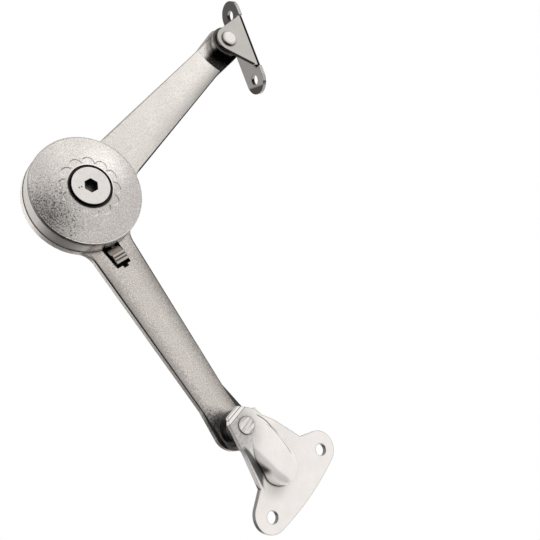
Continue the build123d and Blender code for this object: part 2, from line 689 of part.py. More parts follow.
with BuildPart() as slider_button:
    with BuildSketch(lower(FLANGE_BASE)):
        with Locations(((BUTTON_START + FLANGE_END) / 2 - 0.6, (FLANGE_LEFT + FLANGE_RIGHT) / 2)):
            Rectangle(FLANGE_END - BUTTON_START + 1.2, FLANGE_RIGHT - FLANGE_LEFT)
    extrude(amount=FLANGE_THICK - SINK)
    # run of the leaf spring's tip along the flange's edge, with a deeper seat at either end
    with BuildSketch(lower(0)):
        with Locations((LEAF_MID - SLIDE_TRAVEL / 2, FLANGE_RIGHT)):
            Rectangle(SEAT_RUN, 2 * SEAT_R)
        with Locations((LEAF_MID, FLANGE_RIGHT - SEAT_R), (LEAF_MID - SLIDE_TRAVEL, FLANGE_RIGHT - SEAT_R)):
            Circle(SEAT_R)
    extrude(amount=LOWER_TOP, mode=Mode.SUBTRACT)
    with BuildSketch(lower(FLANGE_BASE)):
        with Locations(((BUTTON_START + BUTTON_END) / 2, (BUTTON_LEFT + BUTTON_RIGHT) / 2)):
            Rectangle(BUTTON_END - BUTTON_START, BUTTON_RIGHT - BUTTON_LEFT)
    extrude(amount=BUTTON_TOP - FLANGE_BASE)
    # pawl that reaches the clutch ring
    with BuildSketch(lower(CLUTCH_BASE)):
        with Locations(((CLUTCH_R - CLUTCH_NOTCH + FREE_GAP + BUTTON_START) / 2, 0)):
            Rectangle(BUTTON_START - CLUTCH_R + CLUTCH_NOTCH - FREE_GAP + 0.4, PAWL_WIDTH)
    extrude(amount=PAWL_THICK)
    # ramp towards the disc and the grooves between the ribs
    with BuildSketch(side(ELBOW_X, ELBOW_Z, LOWER_ANGLE)):
        Polygon(
            (BUTTON_START - OVER, BUTTON_TOP + OVER),
            (BUTTON_START - OVER, RAMP_LOW),
            (BUTTON_START, RAMP_LOW),
            (RIB_START, RAMP_HIGH),
            (RIB_START, BUTTON_TOP + OVER),
            align=None,
        )
        for rib in range(1, RIB_COUNT):
            with Locations((RIB_START + rib * RIB_PITCH, BUTTON_TOP)):
                Rectangle(RIB_GROOVE, 2 * RIB_DEPTH)
    extrude(amount=LOWER_END_R, both=True, mode=Mode.SUBTRACT)

slider_button.part.label = "slider_button"
export_step(slider_button.part, "parts/slider_button.step")

with BuildPart() as slider_plate:
    with BuildSketch(lower(WALL_GAP)):
        with Locations(((WINDOW_START + WINDOW_END) / 2, (WINDOW_LEFT + WINDOW_RIGHT) / 2)):
            Rectangle(WINDOW_END - WINDOW_START + 2 * BACK_PLATE_WALL - SINK,
                      WINDOW_RIGHT - WINDOW_LEFT + 2 * BACK_PLATE_WALL - SINK)
    extrude(amount=BACK_PLATE_THICK)

slider_plate.part.label = "slider_plate"
export_step(slider_plate.part, "parts/slider_plate.step")

with BuildPart() as detent_leaf:
    with BuildSketch(lower(WALL_GAP + BACK_PLATE_THICK + SINK)):
        with BuildLine():
            FilletPolyline(
                (LEAF_START, LEAF_SEAT),
                (LEAF_MID - LEAF_BUMP, LEAF_SEAT),
                (LEAF_MID, LEAF_TIP - LEAF_THICK),
                (LEAF_MID + LEAF_BUMP, LEAF_SEAT),
                (LEAF_END, LEAF_SEAT),
                radius=LEAF_BEND_R,
            )
        trace(line_width=LEAF_THICK)
    extrude(amount=FLANGE_THICK - 2 * SINK)

detent_leaf.part.label = "detent_leaf"
export_step(detent_leaf.part, "parts/detent_leaf.step")

# ---------------------------------------------------------------- cabinet bracket
NECK_ANGLE = math.atan2(LUG_BACK, BEND_HIGH - BEND_LOW)
BEND_SHIFT = SHEET * math.tan(NECK_ANGLE / 2)


def bead(inset):
    """Finger-shaped body on the wall plane; an inset gives the hollow under it."""
    half = FINGER_HALF - inset
    nose_half = NOSE_HALF - inset
    nose_y = FINGER_TIP + NOSE_LENGTH
    with BuildPart() as body:
        with BuildSketch(bracket(0)):
            with BuildLine():
                nose = EllipticalCenterArc((FINGER_X, nose_y), nose_half, NOSE_LENGTH - inset,
                                           start_angle=180, arc_size=180)
                left = Spline(nose @ 0, (FINGER_X - half, FINGER_END), tangents=((0, 1), (0, 1)))
                right = Spline(nose @ 1, (FINGER_X + half, FINGER_END), tangents=((0, 1), (0, 1)))
                Line(left @ 1, right @ 1)
            make_face()
        extrude(amount=LUG_TOP - inset)
        # crest that comes down towards the tip
        with BuildSketch(side(0, 0, CABINET_ANGLE + 90)):
            with BuildLine():
                crest = Spline(
                    (FINGER_TIP, NOSE_HEIGHT - inset),
                    (FINGER_CREST, LUG_TOP - inset),
                    tangents=((1, 0.9), (1, 0)),
                )
                Polyline(crest @ 1, (FINGER_END, LUG_TOP - inset), (FINGER_END, 0), (FINGER_TIP, 0),
                         crest @ 0)
            make_face()
        extrude(amount=30, both=True, mode=Mode.INTERSECT)
        across = bracket(0).x_dir
        rims = edges().filter_by(lambda e: -e.center().Y > NOSE_HEIGHT - inset - 0.5
                                 and abs(e.tangent_at(0.5).dot(across)) < 0.95
                                 and abs(e.tangent_at(0.5).Y) < 0.95)
        fillet(rims, radius=FINGER_ROUND - inset)
    return body.part


with BuildPart() as finger:
    add(bead(0))
    # only what stands over the back of the neck and of the lug
    with BuildSketch(side(0, 0, CABINET_ANGLE + 90)):
        Polygon(
            (FINGER_TIP - OVER, 0),
            (BEND_LOW + BEND_SHIFT, 0),
            (BEND_HIGH + BEND_SHIFT, LUG_BACK),
            (FINGER_END, LUG_BACK),
            (FINGER_END, LUG_TOP + OVER),
            (FINGER_TIP - OVER, LUG_TOP + OVER),
            align=None,
        )
    extrude(amount=30, both=True, mode=Mode.INTERSECT)
    # round corners at the end beside the lug
    with BuildSketch(bracket(0)):
        with Locations((FINGER_X, FINGER_END / 2)):
            RectangleRounded(2 * FINGER_HALF, FINGER_END, FINGER_CORNER)
    extrude(amount=LUG_TOP + OVER, mode=Mode.INTERSECT)

with BuildPart() as cabinet_bracket:
    with BuildSketch(side(0, 0, CABINET_ANGLE + 90)):
        Polygon(
            (EDGE_BOW - OVER, 0),
            (BEND_LOW + BEND_SHIFT, 0),
            (BEND_HIGH + BEND_SHIFT, LUG_BACK),
            (LUG_END, LUG_BACK),
            (LUG_END, LUG_TOP - LUG_BEVEL_DROP),
            (LUG_BEVEL_START, LUG_TOP),
            (BEND_HIGH, LUG_TOP),
            (BEND_LOW, SHEET),
            (EDGE_BOW - OVER, SHEET),
            align=None,
        )
    extrude(amount=30, both=True)
    _bends = edges().filter_by(Axis((0, 0, 0), bracket(0).x_dir))
    fillet(_bends.filter_by(
        lambda e: abs(-e.center().Y - SHEET) < 0.01 and e.center().Z > 1), radius=BEND_R)
    _brow = edges().filter_by(Axis((0, 0, 0), bracket(0).x_dir)).filter_by(
        lambda e: abs(-e.center().Y - LUG_TOP) < 0.01)
    fillet(_brow.sort_by(Axis((0, 0, 0), bracket(0).y_dir))[0], radius=BROW_R)
    with BuildSketch(bracket(0)):
        with Locations((LOBE_X, LOBE_Y), (-LOBE_X, LOBE_Y)):
            Circle(LOBE_R)
        with BuildLine():
            ThreePointArc((-LOBE_X, LOBE_Y - LOBE_R), (0, EDGE_BOW), (LOBE_X, LOBE_Y - LOBE_R))
            Polyline(
                (LOBE_X, LOBE_Y - LOBE_R),
                (LOBE_X, LOBE_Y),
                (LOBE_X + LOBE_R * 0.41, LOBE_Y + LOBE_R * 0.91),
                (SHOULDER_HALF + 0.5, SHOULDER_Y),
                (PIVOT_X + LUG_RIGHT, PIVOT_Y - 2.0),
                (PIVOT_X + LUG_RIGHT - 0.7, PIVOT_Y + LUG_CORNER),
                (PIVOT_X + LUG_RIGHT - 2.9, LUG_BEVEL_START),
                (PIVOT_X + LUG_TIP_HALF, LUG_END),
                (PIVOT_X - LUG_TIP_HALF, LUG_END),
                (PIVOT_X - LUG_TIP_HALF - 1.7, LUG_BEVEL_START),
                (PIVOT_X - LUG_LEFT, BEND_HIGH + 1.6),
                (-SHOULDER_HALF + 0.4, SHOULDER_Y),
                (-LOBE_X - LOBE_R * 0.41, LOBE_Y + LOBE_R * 0.91),
                (-LOBE_X, LOBE_Y),
                (-LOBE_X, LOBE_Y - LOBE_R),
            )
        make_face()
    extrude(amount=LUG_TOP + OVER, mode=Mode.INTERSECT)
    add(finger.part)
    add(bead(SHEET), mode=Mode.SUBTRACT)
    with BuildSketch(bracket(0)):
        with Locations((HOLE_HALF_SPACING, 0), (-HOLE_HALF_SPACING, 0)):
            Circle(HOLE_R)
    extrude(amount=SHEET + OVER, mode=Mode.SUBTRACT)
    with BuildSketch(layer(CABINET_X, CABINET_Z, 0, LUG_BACK - OVER / 2)):
        Circle(CABINET_RIVET_SHANK_R)
    extrude(amount=SHEET + OVER, mode=Mode.SUBTRACT)

cabinet_bracket.part.label = "cabinet_bracket"
export_step(cabinet_bracket.part, "parts/cabinet_bracket.step")

# ---------------------------------------------------------------- cabinet pivot
with BuildPart() as cabinet_rivet:
    with BuildSketch(layer(CABINET_X, CABINET_Z, 0, WALL_GAP + SINK)):
        Circle(FORMED_HEAD_R)
    extrude(amount=FORMED_HEAD_THICK - 3 * SINK)
    chamfer(faces().sort_by(Axis.Y)[-1].edges(), length=EDGE_CHAMFER)
    with BuildSketch(layer(CABINET_X, CABINET_Z, 0, WALL_GAP + SINK)):
        Circle(CABINET_RIVET_R)
    extrude(amount=LUG_BACK - WALL_GAP - SINK)
    with BuildSketch(layer(CABINET_X, CABINET_Z, 0, LUG_BACK)):
        Circle(CABINET_RIVET_SHANK_R)
    extrude(amount=SHEET)
    with BuildSketch(layer(CABINET_X, CABINET_Z, 0, LUG_TOP)):
        Circle(CABINET_RIVET_HEAD_R)
    extrude(amount=CABINET_RIVET_HEAD)
    chamfer(faces().sort_by(Axis.Y)[0].edges(), length=RIVET_CHAMFER)

cabinet_rivet.part.label = "cabinet_rivet"
export_step(cabinet_rivet.part, "parts/cabinet_rivet.step")

with BuildPart() as cabinet_washer:
    with BuildSketch(layer(CABINET_X, CABINET_Z, 0, CABINET_BOSS_TOP)):
        Circle(CABINET_WASHER_R)
        Circle(CABINET_RIVET_R, mode=Mode.SUBTRACT)
    extrude(amount=LUG_BACK - CABINET_BOSS_TOP)
    chamfer(edges().filter_by(GeomType.CIRCLE).filter_by(lambda e: e.radius > STUD_R), length=EDGE_CHAMFER)

cabinet_washer.part.label = "cabinet_washer"
export_step(cabinet_washer.part, "parts/cabinet_washer.step")


# ---------------------------------------------------------------- lid bracket
def ear(height):
    return layer(LID_X, LID_Z, LID_FOLD_ANGLE, height)


FOLD_DIR = ear(0).x_dir
OUT_DIR = ear(0).y_dir
PLATE_CENTRE = Vector(LID_X, 0, LID_Z) + OUT_DIR * LID_FOLD_REACH
EAR_CORNER = LID_FOLD_REACH - LID_SHEET - 0.5

with BuildPart() as lid_bracket:
    with BuildSketch(Plane(origin=PLATE_CENTRE, x_dir=FOLD_DIR, z_dir=OUT_DIR)):
        with Locations((LID_HOLE_SHIFT, LID_PLATE_HALF - LID_TOP)):
            SlotCenterToCenter(LID_HOLE_SPACING, 2 * LID_PLATE_HALF)
    extrude(amount=-LID_SHEET)
    # relief at both ends of the fold
    with BuildSketch(Plane(origin=PLATE_CENTRE, x_dir=FOLD_DIR, z_dir=OUT_DIR)):
        with Locations(((EAR_AHEAD - EAR_BACK) / 2, -LID_TOP)):
            Rectangle(EAR_AHEAD + EAR_BACK + 0.8, 2 * (LID_SHEET + 0.9))
    extrude(amount=-LID_SHEET, mode=Mode.SUBTRACT)
    # rounded fold
    with BuildSketch(Plane(origin=Vector(LID_X, 0, LID_Z) - FOLD_DIR * EAR_BACK,
                           x_dir=OUT_DIR, z_dir=FOLD_DIR)) as _fold:
        Polygon(
            (EAR_CORNER - 1.0, EAR_UNDER),
            (LID_FOLD_REACH - LID_SHEET, EAR_UNDER),
            (LID_FOLD_REACH - LID_SHEET, EAR_UNDER - 1.4),
            (LID_FOLD_REACH, EAR_UNDER - 1.4),
            (LID_FOLD_REACH, LID_TOP),
            (EAR_CORNER - 1.0, LID_TOP),
            align=None,
        )
        fillet(_fold.vertices().filter_by(
            lambda v: abs(v.X - LID_FOLD_REACH) < 0.01 and v.Y > LID_TOP - 0.1), radius=FOLD_R)
    extrude(amount=EAR_BACK + EAR_AHEAD)
    # ear, narrowing to its round end about the rivet
    with BuildSketch(ear(EAR_UNDER)):
        Circle(EAR_R)
        Polygon(
            (-EAR_BACK, EAR_CORNER),
            tangent(-EAR_BACK, EAR_CORNER, EAR_R, 1),
            (0, 0),
            tangent(EAR_AHEAD, EAR_CORNER, EAR_R, -1),
            (EAR_AHEAD, EAR_CORNER),
            align=None,
        )
    extrude(amount=LID_SHEET)
    with BuildSketch(ear(LID_TOP - FOLD_GROOVE)):
        with Locations(((EAR_AHEAD - EAR_BACK) / 2, EAR_CORNER + 0.7)):
            Rectangle(EAR_AHEAD + EAR_BACK, FOLD_GROOVE)
    extrude(amount=1, mode=Mode.SUBTRACT)
    with BuildSketch(ear(0)):
        Circle(LID_RIVET_SHANK_R)
    extrude(amount=LID_TOP + OVER, mode=Mode.SUBTRACT)
    with BuildSketch(Plane(origin=PLATE_CENTRE, x_dir=FOLD_DIR, z_dir=OUT_DIR)):
        with Locations((LID_HOLE_SHIFT, LID_PLATE_HALF - LID_TOP)):
            with GridLocations(LID_HOLE_SPACING, 1, 2, 1):
                Circle(LID_HOLE_R)
    extrude(amount=-2 * LID_SHEET, mode=Mode.SUBTRACT)

lid_bracket.part.label = "lid_bracket"
export_step(lid_bracket.part, "parts/lid_bracket.step")

with BuildPart() as lid_rivet:
    with BuildSketch(ear(UPPER_BACK + SINK)):
        Circle(LID_FORMED_R)
    extrude(amount=FORMED_HEAD_THICK - 3 * SINK)
    chamfer(faces().sort_by(Axis.Y)[-1].edges(), length=EDGE_CHAMFER)
    with BuildSketch(ear(UPPER_BACK + SINK)):
        Circle(LID_RIVET_R)
    extrude(amount=EAR_UNDER - UPPER_BACK - SINK)
    with BuildSketch(ear(EAR_UNDER)):
        Circle(LID_RIVET_SHANK_R)
    extrude(amount=LID_SHEET)
    with BuildSketch(ear(LID_TOP)):
        Circle(LID_RIVET_HEAD_R)
    extrude(amount=LID_RIVET_HEAD)
    fillet(faces().sort_by(Axis.Y)[0].edges(), radius=LID_RIVET_HEAD - 0.1)

lid_rivet.part.label = "lid_rivet"
export_step(lid_rivet.part, "parts/lid_rivet.step")

with BuildPart() as lid_washer:
    with BuildSketch(ear(LID_BOSS_TOP)):
        Circle(LID_WASHER_R)
        Circle(LID_RIVET_R, mode=Mode.SUBTRACT)
    extrude(amount=EAR_UNDER - LID_BOSS_TOP)
    chamfer(edges().filter_by(GeomType.CIRCLE).filter_by(lambda e: e.radius > STUD_R), length=EDGE_CHAMFER)

lid_washer.part.label = "lid_washer"
export_step(lid_washer.part, "parts/lid_washer.step")
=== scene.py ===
"""A free-stop lid stay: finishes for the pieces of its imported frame, and a studio."""

import logging
import math
from dataclasses import dataclass, field
from enum import Enum

import bpy
from mathutils import Matrix, Vector


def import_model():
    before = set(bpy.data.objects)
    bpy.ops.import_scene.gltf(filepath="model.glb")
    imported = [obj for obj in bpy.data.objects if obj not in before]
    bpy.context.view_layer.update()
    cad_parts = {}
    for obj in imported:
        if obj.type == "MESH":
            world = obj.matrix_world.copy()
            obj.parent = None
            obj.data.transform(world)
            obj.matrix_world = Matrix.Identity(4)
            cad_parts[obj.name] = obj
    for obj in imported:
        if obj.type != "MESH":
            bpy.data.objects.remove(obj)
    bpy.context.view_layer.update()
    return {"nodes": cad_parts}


log = logging.getLogger("lid_stay")

MM = 0.001
Colour = tuple[float, float, float, float]
Point = tuple[float, float, float]
Pair = tuple[float, float]
Socket = bpy.types.NodeSocket

FRONT: Point = (0.0, -1.0, 0.0)
# Cosines of the angle between a surface's normal and a way: a side wall of it, and a face.
WALL_AND_FACE: Pair = (0.6, 0.85)


class Metal(Enum):
    """How far a finish is metal."""

    BARE = 1.0
    SATIN = 0.3
    NONE = 0.0


def tint(red: float, green: float, blue: float) -> Colour:
    """An opaque colour from its linear parts."""
    return (red, green, blue, 1.0)


def grey(level: float) -> Colour:
    """An opaque grey of a linear level."""
    return tint(level, level, level)


# --------------------------------------------------------------------------- node helpers
class NodeSheet:
    """A small writer for one node tree."""

    def __init__(self, tree: bpy.types.NodeTree) -> None:
        """Keeps the tree and empties it."""
        self.tree = tree
        tree.nodes.clear()

    def add(self, kind: str, **values: object) -> bpy.types.Node:
        """Adds a node.

        Args:
            kind: the node's type name.
            values: attributes to set on the node.

        Returns:
            The new node.
        """
        node = self.tree.nodes.new(kind)
        for name, value in values.items():
            setattr(node, name, value)
        return node

    def feed(self, target: Socket, value: Socket | Colour | Point | float) -> None:
        """Links a socket to an input, or writes a constant on it.

        Args:
            target: the input.
            value: the socket or the constant.
        """
        if isinstance(value, Socket):
            self.tree.links.new(value, target)
        else:
            target.default_value = value

    def ramp(self, source: Socket, stops: list[tuple[float, Colour]]) -> Socket:
        """Maps a value through colour stops.

        Args:
            source: the value to map.
            stops: places from 0 to 1 with their colours.

        Returns:
            The colour socket.
        """
        node = self.add("ShaderNodeValToRGB")
        elements = node.color_ramp.elements
        while len(elements) > 1:
            elements.remove(elements[-1])
        elements[0].position, elements[0].color = stops[0]
        for place, colour in stops[1:]:
            elements.new(place).color = colour
        self.feed(node.inputs["Fac"], source)
        return node.outputs["Color"]

    def bands(self, source: Socket, shades: tuple[Pair, ...], blue: float = 1.0) -> Socket:
        """Maps a value through grey stops.

        Args:
            source: the value to map.
            shades: places from 0 to 1 with their lightness.
            blue: share of blue in each grey.

        Returns:
            The colour socket.
        """
        return self.ramp(source, [(place, tint(shade, shade, blue * shade)) for place, shade in shades])

    def noise(self, scale: float, detail: float = 2.0, rough: float = 0.5,
              stretch: Point = (1.0, 1.0, 1.0), turn: float = 0.0) -> Socket:
        """A noise pattern on the object's own coordinates.

        Args:
            scale: cells per metre.
            detail: octaves.
            rough: share of the fine octaves.
            stretch: scale along each axis.
            turn: rotation of the pattern about the hinge axes, in radians.

        Returns:
            The factor socket.
        """
        mapping = self.add("ShaderNodeMapping", vector_type="TEXTURE")
        mapping.inputs["Scale"].default_value = tuple(1.0 / part for part in stretch)
        mapping.inputs["Rotation"].default_value = (0.0, turn, 0.0)
        self.feed(mapping.inputs["Vector"], self.place())
        noise = self.add("ShaderNodeTexNoise")
        noise.inputs["Scale"].default_value = scale
        noise.inputs["Detail"].default_value = detail
        noise.inputs["Roughness"].default_value = rough
        self.feed(noise.inputs["Vector"], mapping.outputs["Vector"])
        return noise.outputs["Fac"]

    def mix(self, factor: Socket | float, low: Socket | Colour, high: Socket | Colour,
            blend: str = "MIX") -> Socket:
        """Mixes two colours.

        Args:
            factor: share of the second colour, or a socket giving it.
            low: first colour.
            high: second colour.
            blend: how the two are mixed.

        Returns:
            The mixed colour socket.
        """
        node = self.add("ShaderNodeMix", data_type="RGBA", blend_type=blend)
        for key, value in (("Factor", factor), ("A", low), ("B", high)):
            self.feed(next(s for s in node.inputs if s.name == key and s.enabled), value)
        return next(s for s in node.outputs if s.enabled)

    def shaded(self, colour: Socket | Colour, shade: Socket) -> Socket:
        """Multiplies a colour by a shade."""
        return self.mix(1.0, colour, shade, "MULTIPLY")

    def choose(self, factor: Socket, low: bpy.types.Node | Socket, high: bpy.types.Node) -> Socket:
        """Mixes two shaders.

        Args:
            factor: share of the second one.
            low: first shader, or its socket.
            high: second shader.

        Returns:
            The shader socket.
        """
        node = self.add("ShaderNodeMixShader")
        self.feed(node.inputs[0], factor)
        self.feed(node.inputs[1], low if isinstance(low, Socket) else low.outputs[0])
        self.feed(node.inputs[2], high.outputs[0])
        return node.outputs[0]

    def place(self) -> Socket:
        """Gives the object's own coordinates."""
        return self.add("ShaderNodeTexCoord").outputs["Object"]

    def normal(self) -> Socket:
        """Gives the surface's normal."""
        return self.add("ShaderNodeNewGeometry").outputs["Normal"]

    def height(self) -> Socket:
        """Gives the height above the cabinet wall."""
        return self.dot(self.place(), FRONT)

    def vector(self, operation: str, first: Socket, second: Socket | Point, result: str) -> Socket:
        """Joins two vectors.

        Args:
            operation: name of the operation.
            first: first vector.
            second: second vector, fixed or from a socket.
            result: name of the output.

        Returns:
            The socket of the result.
        """
        node = self.add("ShaderNodeVectorMath", operation=operation)
        self.feed(node.inputs[0], first)
        self.feed(node.inputs[1], second)
        return node.outputs[result]

    def dot(self, source: Socket, along: Socket | Point) -> Socket:
        """Gives the share of a vector along another."""
        return self.vector("DOT_PRODUCT", source, along, "Value")

    def offset(self, middle: Point) -> Socket:
        """Gives the object's coordinates from a point of it."""
        return self.vector("SUBTRACT", self.place(), middle, "Vector")

    def away(self, middle: Point) -> Socket:
        """Gives the distance from a point of the object."""
        return self.vector("DISTANCE", self.place(), middle, "Value")

    def away_in_plan(self, middle: Point) -> Socket:
        """Gives the distance from a point of the cabinet wall's plane, seen from the front."""
        flat = self.vector("MULTIPLY", self.place(), (1.0, 0.0, 1.0), "Vector")
        return self.vector("DISTANCE", flat, middle, "Value")

    def math(self, operation: str, first: Socket, second: Socket | float) -> Socket:
        """Joins two values.

        Args:
            operation: name of the operation.
            first: first value.
            second: second value.

        Returns:
            The value socket.
        """
        node = self.add("ShaderNodeMath", operation=operation)
        self.feed(node.inputs[0], first)
        self.feed(node.inputs[1], second)
        return node.outputs["Value"]

    def times(self, first: Socket, *others: Socket | float) -> Socket:
        """Multiplies values.

        Args:
            first: first value.
            others: the values that follow it.

        Returns:
            The value socket.
        """
        for other in others:
            first = self.math("MULTIPLY", first, other)
        return first

    def span(self, source: Socket, start: float, end: float, low: float = 0.0,
             high: float = 1.0, smooth: bool = False) -> Socket:
        """Stretches a value from one span to another and holds it at both ends.

        Args:
            source: the value.
            start: value that gives the low end.
            end: value that gives the high end.
            low: result at the start.
            high: result at the end.
            smooth: whether the change eases in and out.

        Returns:
            The value socket.
        """
        node = self.add("ShaderNodeMapRange", interpolation_type="SMOOTHSTEP" if smooth else "LINEAR")
        for name, value in (("From Min", start), ("From Max", end), ("To Min", low), ("To Max", high)):
            node.inputs[name].default_value = value
        self.feed(node.inputs["Value"], source)
        return node.outputs["Result"]

    def fall(self, source: Socket, start: float, end: float, smooth: bool = False) -> Socket:
        """Gives one before a span of a value and none after it.

        Args:
            source: the value.
            start: where the fall begins.
            end: where it ends.
            smooth: whether the change eases in and out.

        Returns:
            The value socket.
        """
        return self.span(source, start, end, 1.0, 0.0, smooth)

    def above(self, source: Socket, level: float, soft: float) -> Socket:
        """Gives one above a level of a value; the change takes a soft width from the level up."""
        return self.span(source, level, level + soft)

    def below(self, source: Socket, level: float, soft: float) -> Socket:
        """Gives one below a level of a value; the change takes a soft width up to the level."""
        return self.fall(source, level - soft, level)

    def flip(self, share: Socket) -> Socket:
        """Gives one where a share is none, and none where it is one."""
        return self.fall(share, 0.0, 1.0)

    def within(self, source: Socket, ends: Pair, soft: float) -> Socket:
        """Gives one inside a span of a value and none outside it.

        Args:
            source: the value.
            ends: start and end of the span.
            soft: width of the change at both ends.

        Returns:
            The value socket.
        """
        start, end = ends
        return self.times(self.span(source, start - 0.5 * soft, start + 0.5 * soft, smooth=True),
                          self.fall(source, end - 0.5 * soft, end + 0.5 * soft, True))

    def bump(self, pattern: Socket, depth: float, under: Socket) -> Socket:
        """Turns a pattern into a surface normal, at half its strength.

        Args:
            pattern: the pattern.
            depth: height of the pattern at full strength, in metres.
            under: the coarser normal below it.

        Returns:
            The normal socket.
        """
        node = self.add("ShaderNodeBump")
        node.inputs["Strength"].default_value = 0.5
        node.inputs["Distance"].default_value = depth
        self.feed(node.inputs["Height"], pattern)
        self.feed(node.inputs["Normal"], under)
        return node.outputs["Normal"]


# --------------------------------------------------------------------------- finishes
@dataclass(frozen=True)
class Clouds:
    """Soft darker patches in a finish.

    Attributes:
        scale: patches per metre.
        detail: octaves of their pattern.
        span: values of the pattern that are darkest and that are left as they are.
        shade: lightness of the darkest ones.
    """

    scale: float
    detail: float
    span: Pair
    shade: float

    def over(self, sheet: NodeSheet, colour: Socket | Colour) -> Socket:
        """Lays the patches over a colour."""
        pattern = sheet.noise(self.scale, self.detail)
        return sheet.shaded(colour, sheet.span(pattern, *self.span, self.shade, 1.0))


@dataclass(frozen=True)
class Pits:
    """Fine dark pits round a place, which thin out away from it, over a smooth darkening there; on the
    cover both are painted shade on its lower left.

    Attributes:
        middle: the darkest point.
        reach: distance from it where the pits end.
        dark: how dark the pits are.
        core: share of the reach within which the place is darkest.
        scale: pits per metre.
        growth: how much the pits widen towards the middle.
        span: values of the pattern that are full pits and that are none.
        rim: share of the nearness from which the pits are at full strength.
        darkening: how dark the metal between them gets, as a share of the pits.
        shade: lightness of a full pit.
    """

    middle: Point
    reach: float
    dark: float
    core: float = 0.1
    scale: float = 2000.0
    growth: float = 0.2
    span: Pair = (0.25, 0.40)
    rim: float = 0.3
    darkening: float = 0.6
    shade: float = 0.05

    def dig(self, sheet: NodeSheet) -> Socket:
        """Gives the share of dark that the pits and the smooth darkening between them have.

        Args:
            sheet: writer of the material's nodes.

        Returns:
            The value socket.
        """
        near = sheet.fall(sheet.away(self.middle), self.core * self.reach, self.reach, True)
        pattern = sheet.noise(self.scale, detail=2.5, rough=0.8)
        fine = sheet.math("SUBTRACT", pattern, sheet.times(near, self.growth))
        holes = sheet.times(sheet.span(near, 0.0, self.rim), sheet.span(fine, *self.span, self.dark, 0.0))
        # On the cover the smooth darkening is painted shade.
        return sheet.math("MAXIMUM", holes, sheet.times(near, near, self.darkening * self.dark))


@dataclass(frozen=True)
class Finish:
    """A surface finish with its colour, gloss, painted shade lines along its edges and painted shade in
    hollow places.

    Attributes:
        name: the material's name.
        colour: its linear colour.
        roughness: its roughness.
        metal: how far it is metal.
        rim: width of the painted shade lines along the edges.
        rim_shade: lightness of the painted shade lines.
        rim_turn: cosines of the normal's turn that give a full painted line and none.
        hollow: reach of the painted shade in hollow places.
        hollow_shade: lightness of the painted shade in a closed hollow.
        hollow_open: openness of a closed hollow and of an open face.
        clouds: its soft darker patches.
    """

    name: str
    colour: Colour
    roughness: float
    metal: Metal = Metal.BARE
    rim: float = 0.3 * MM
    rim_shade: float = 0.45
    rim_turn: Pair = (0.84, 0.985)
    hollow: float = 2.5 * MM
    hollow_shade: float = 0.12
    hollow_open: Pair = (0.3, 0.85)
    clouds: Clouds = Clouds(900.0, 3.0, (0.3, 0.7), 0.86)

    def make(self) -> bpy.types.Material:
        """Builds the material.

        Returns:
            The new material.
        """
        material = bpy.data.materials.new(self.name)
        material.use_nodes = True
        sheet = NodeSheet(material.node_tree)
        shader = sheet.add("ShaderNodeBsdfPrincipled")
        output = sheet.add("ShaderNodeOutputMaterial")
        sheet.feed(output.inputs["Surface"], shader.outputs["BSDF"])
        shader.inputs["Metallic"].default_value = self.metal.value
        shader.inputs["Roughness"].default_value = self.roughness
        bevel = sheet.add("ShaderNodeBevel", samples=6)
        bevel.inputs["Radius"].default_value = self.rim
        rounded = bevel.outputs["Normal"]
        # Painted shade: dark lines along the edges and darkening in hollow places go into the base colour.
        colour = sheet.shaded(self.paint(sheet), self.painted_edge_shade(sheet, rounded))
        sheet.feed(shader.inputs["Base Color"], sheet.shaded(colour, self.painted_hollow_shade(sheet)))
        sheet.feed(shader.inputs["Normal"], self.relief(sheet, rounded))
        return material

    def share(self, lightness: float) -> Colour:
        """Gives the finish's colour at a share of its lightness."""
        return tint(*(min(1.0, lightness * part) for part in self.colour[:3]))

    def facing(self, sheet: NodeSheet, way: Point = FRONT) -> Socket:
        """Gives one where the surface faces a way, and none on its side walls."""
        return sheet.span(sheet.dot(sheet.normal(), way), *WALL_AND_FACE)

    def painted_edge_shade(self, sheet: NodeSheet, rounded: Socket) -> Socket:
        """Gives a painted shade that is darker along the edges.

        Args:
            sheet: writer of the material's nodes.
            rounded: the normal that turns over at the edges.

        Returns:
            The value socket.
        """
        # Painted shade where the rounded normal turns over at an edge.
        return sheet.span(sheet.dot(rounded, sheet.normal()), *self.rim_turn, self.rim_shade, 1.0)

    def painted_hollow_shade(self, sheet: NodeSheet) -> Socket:
        """Gives a painted shade that is darker where the surface is shut in.

        Args:
            sheet: writer of the material's nodes.

        Returns:
            The value socket.
        """
        # Painted shade from how far nearby surfaces shut this place in.
        shut = sheet.add("ShaderNodeAmbientOcclusion", samples=8)
        shut.inputs["Distance"].default_value = self.hollow
        return sheet.span(shut.outputs["AO"], *self.hollow_open, self.hollow_shade, 1.0)

    def paint(self, sheet: NodeSheet) -> Socket:
        """Writes the plain colour with its clouds."""
        return self.clouds.over(sheet, self.colour)

    def relief(self, sheet: NodeSheet, rounded: Socket) -> Socket:
        """Gives the surface's normal, here the plain one that turns over at the edges."""
        return rounded


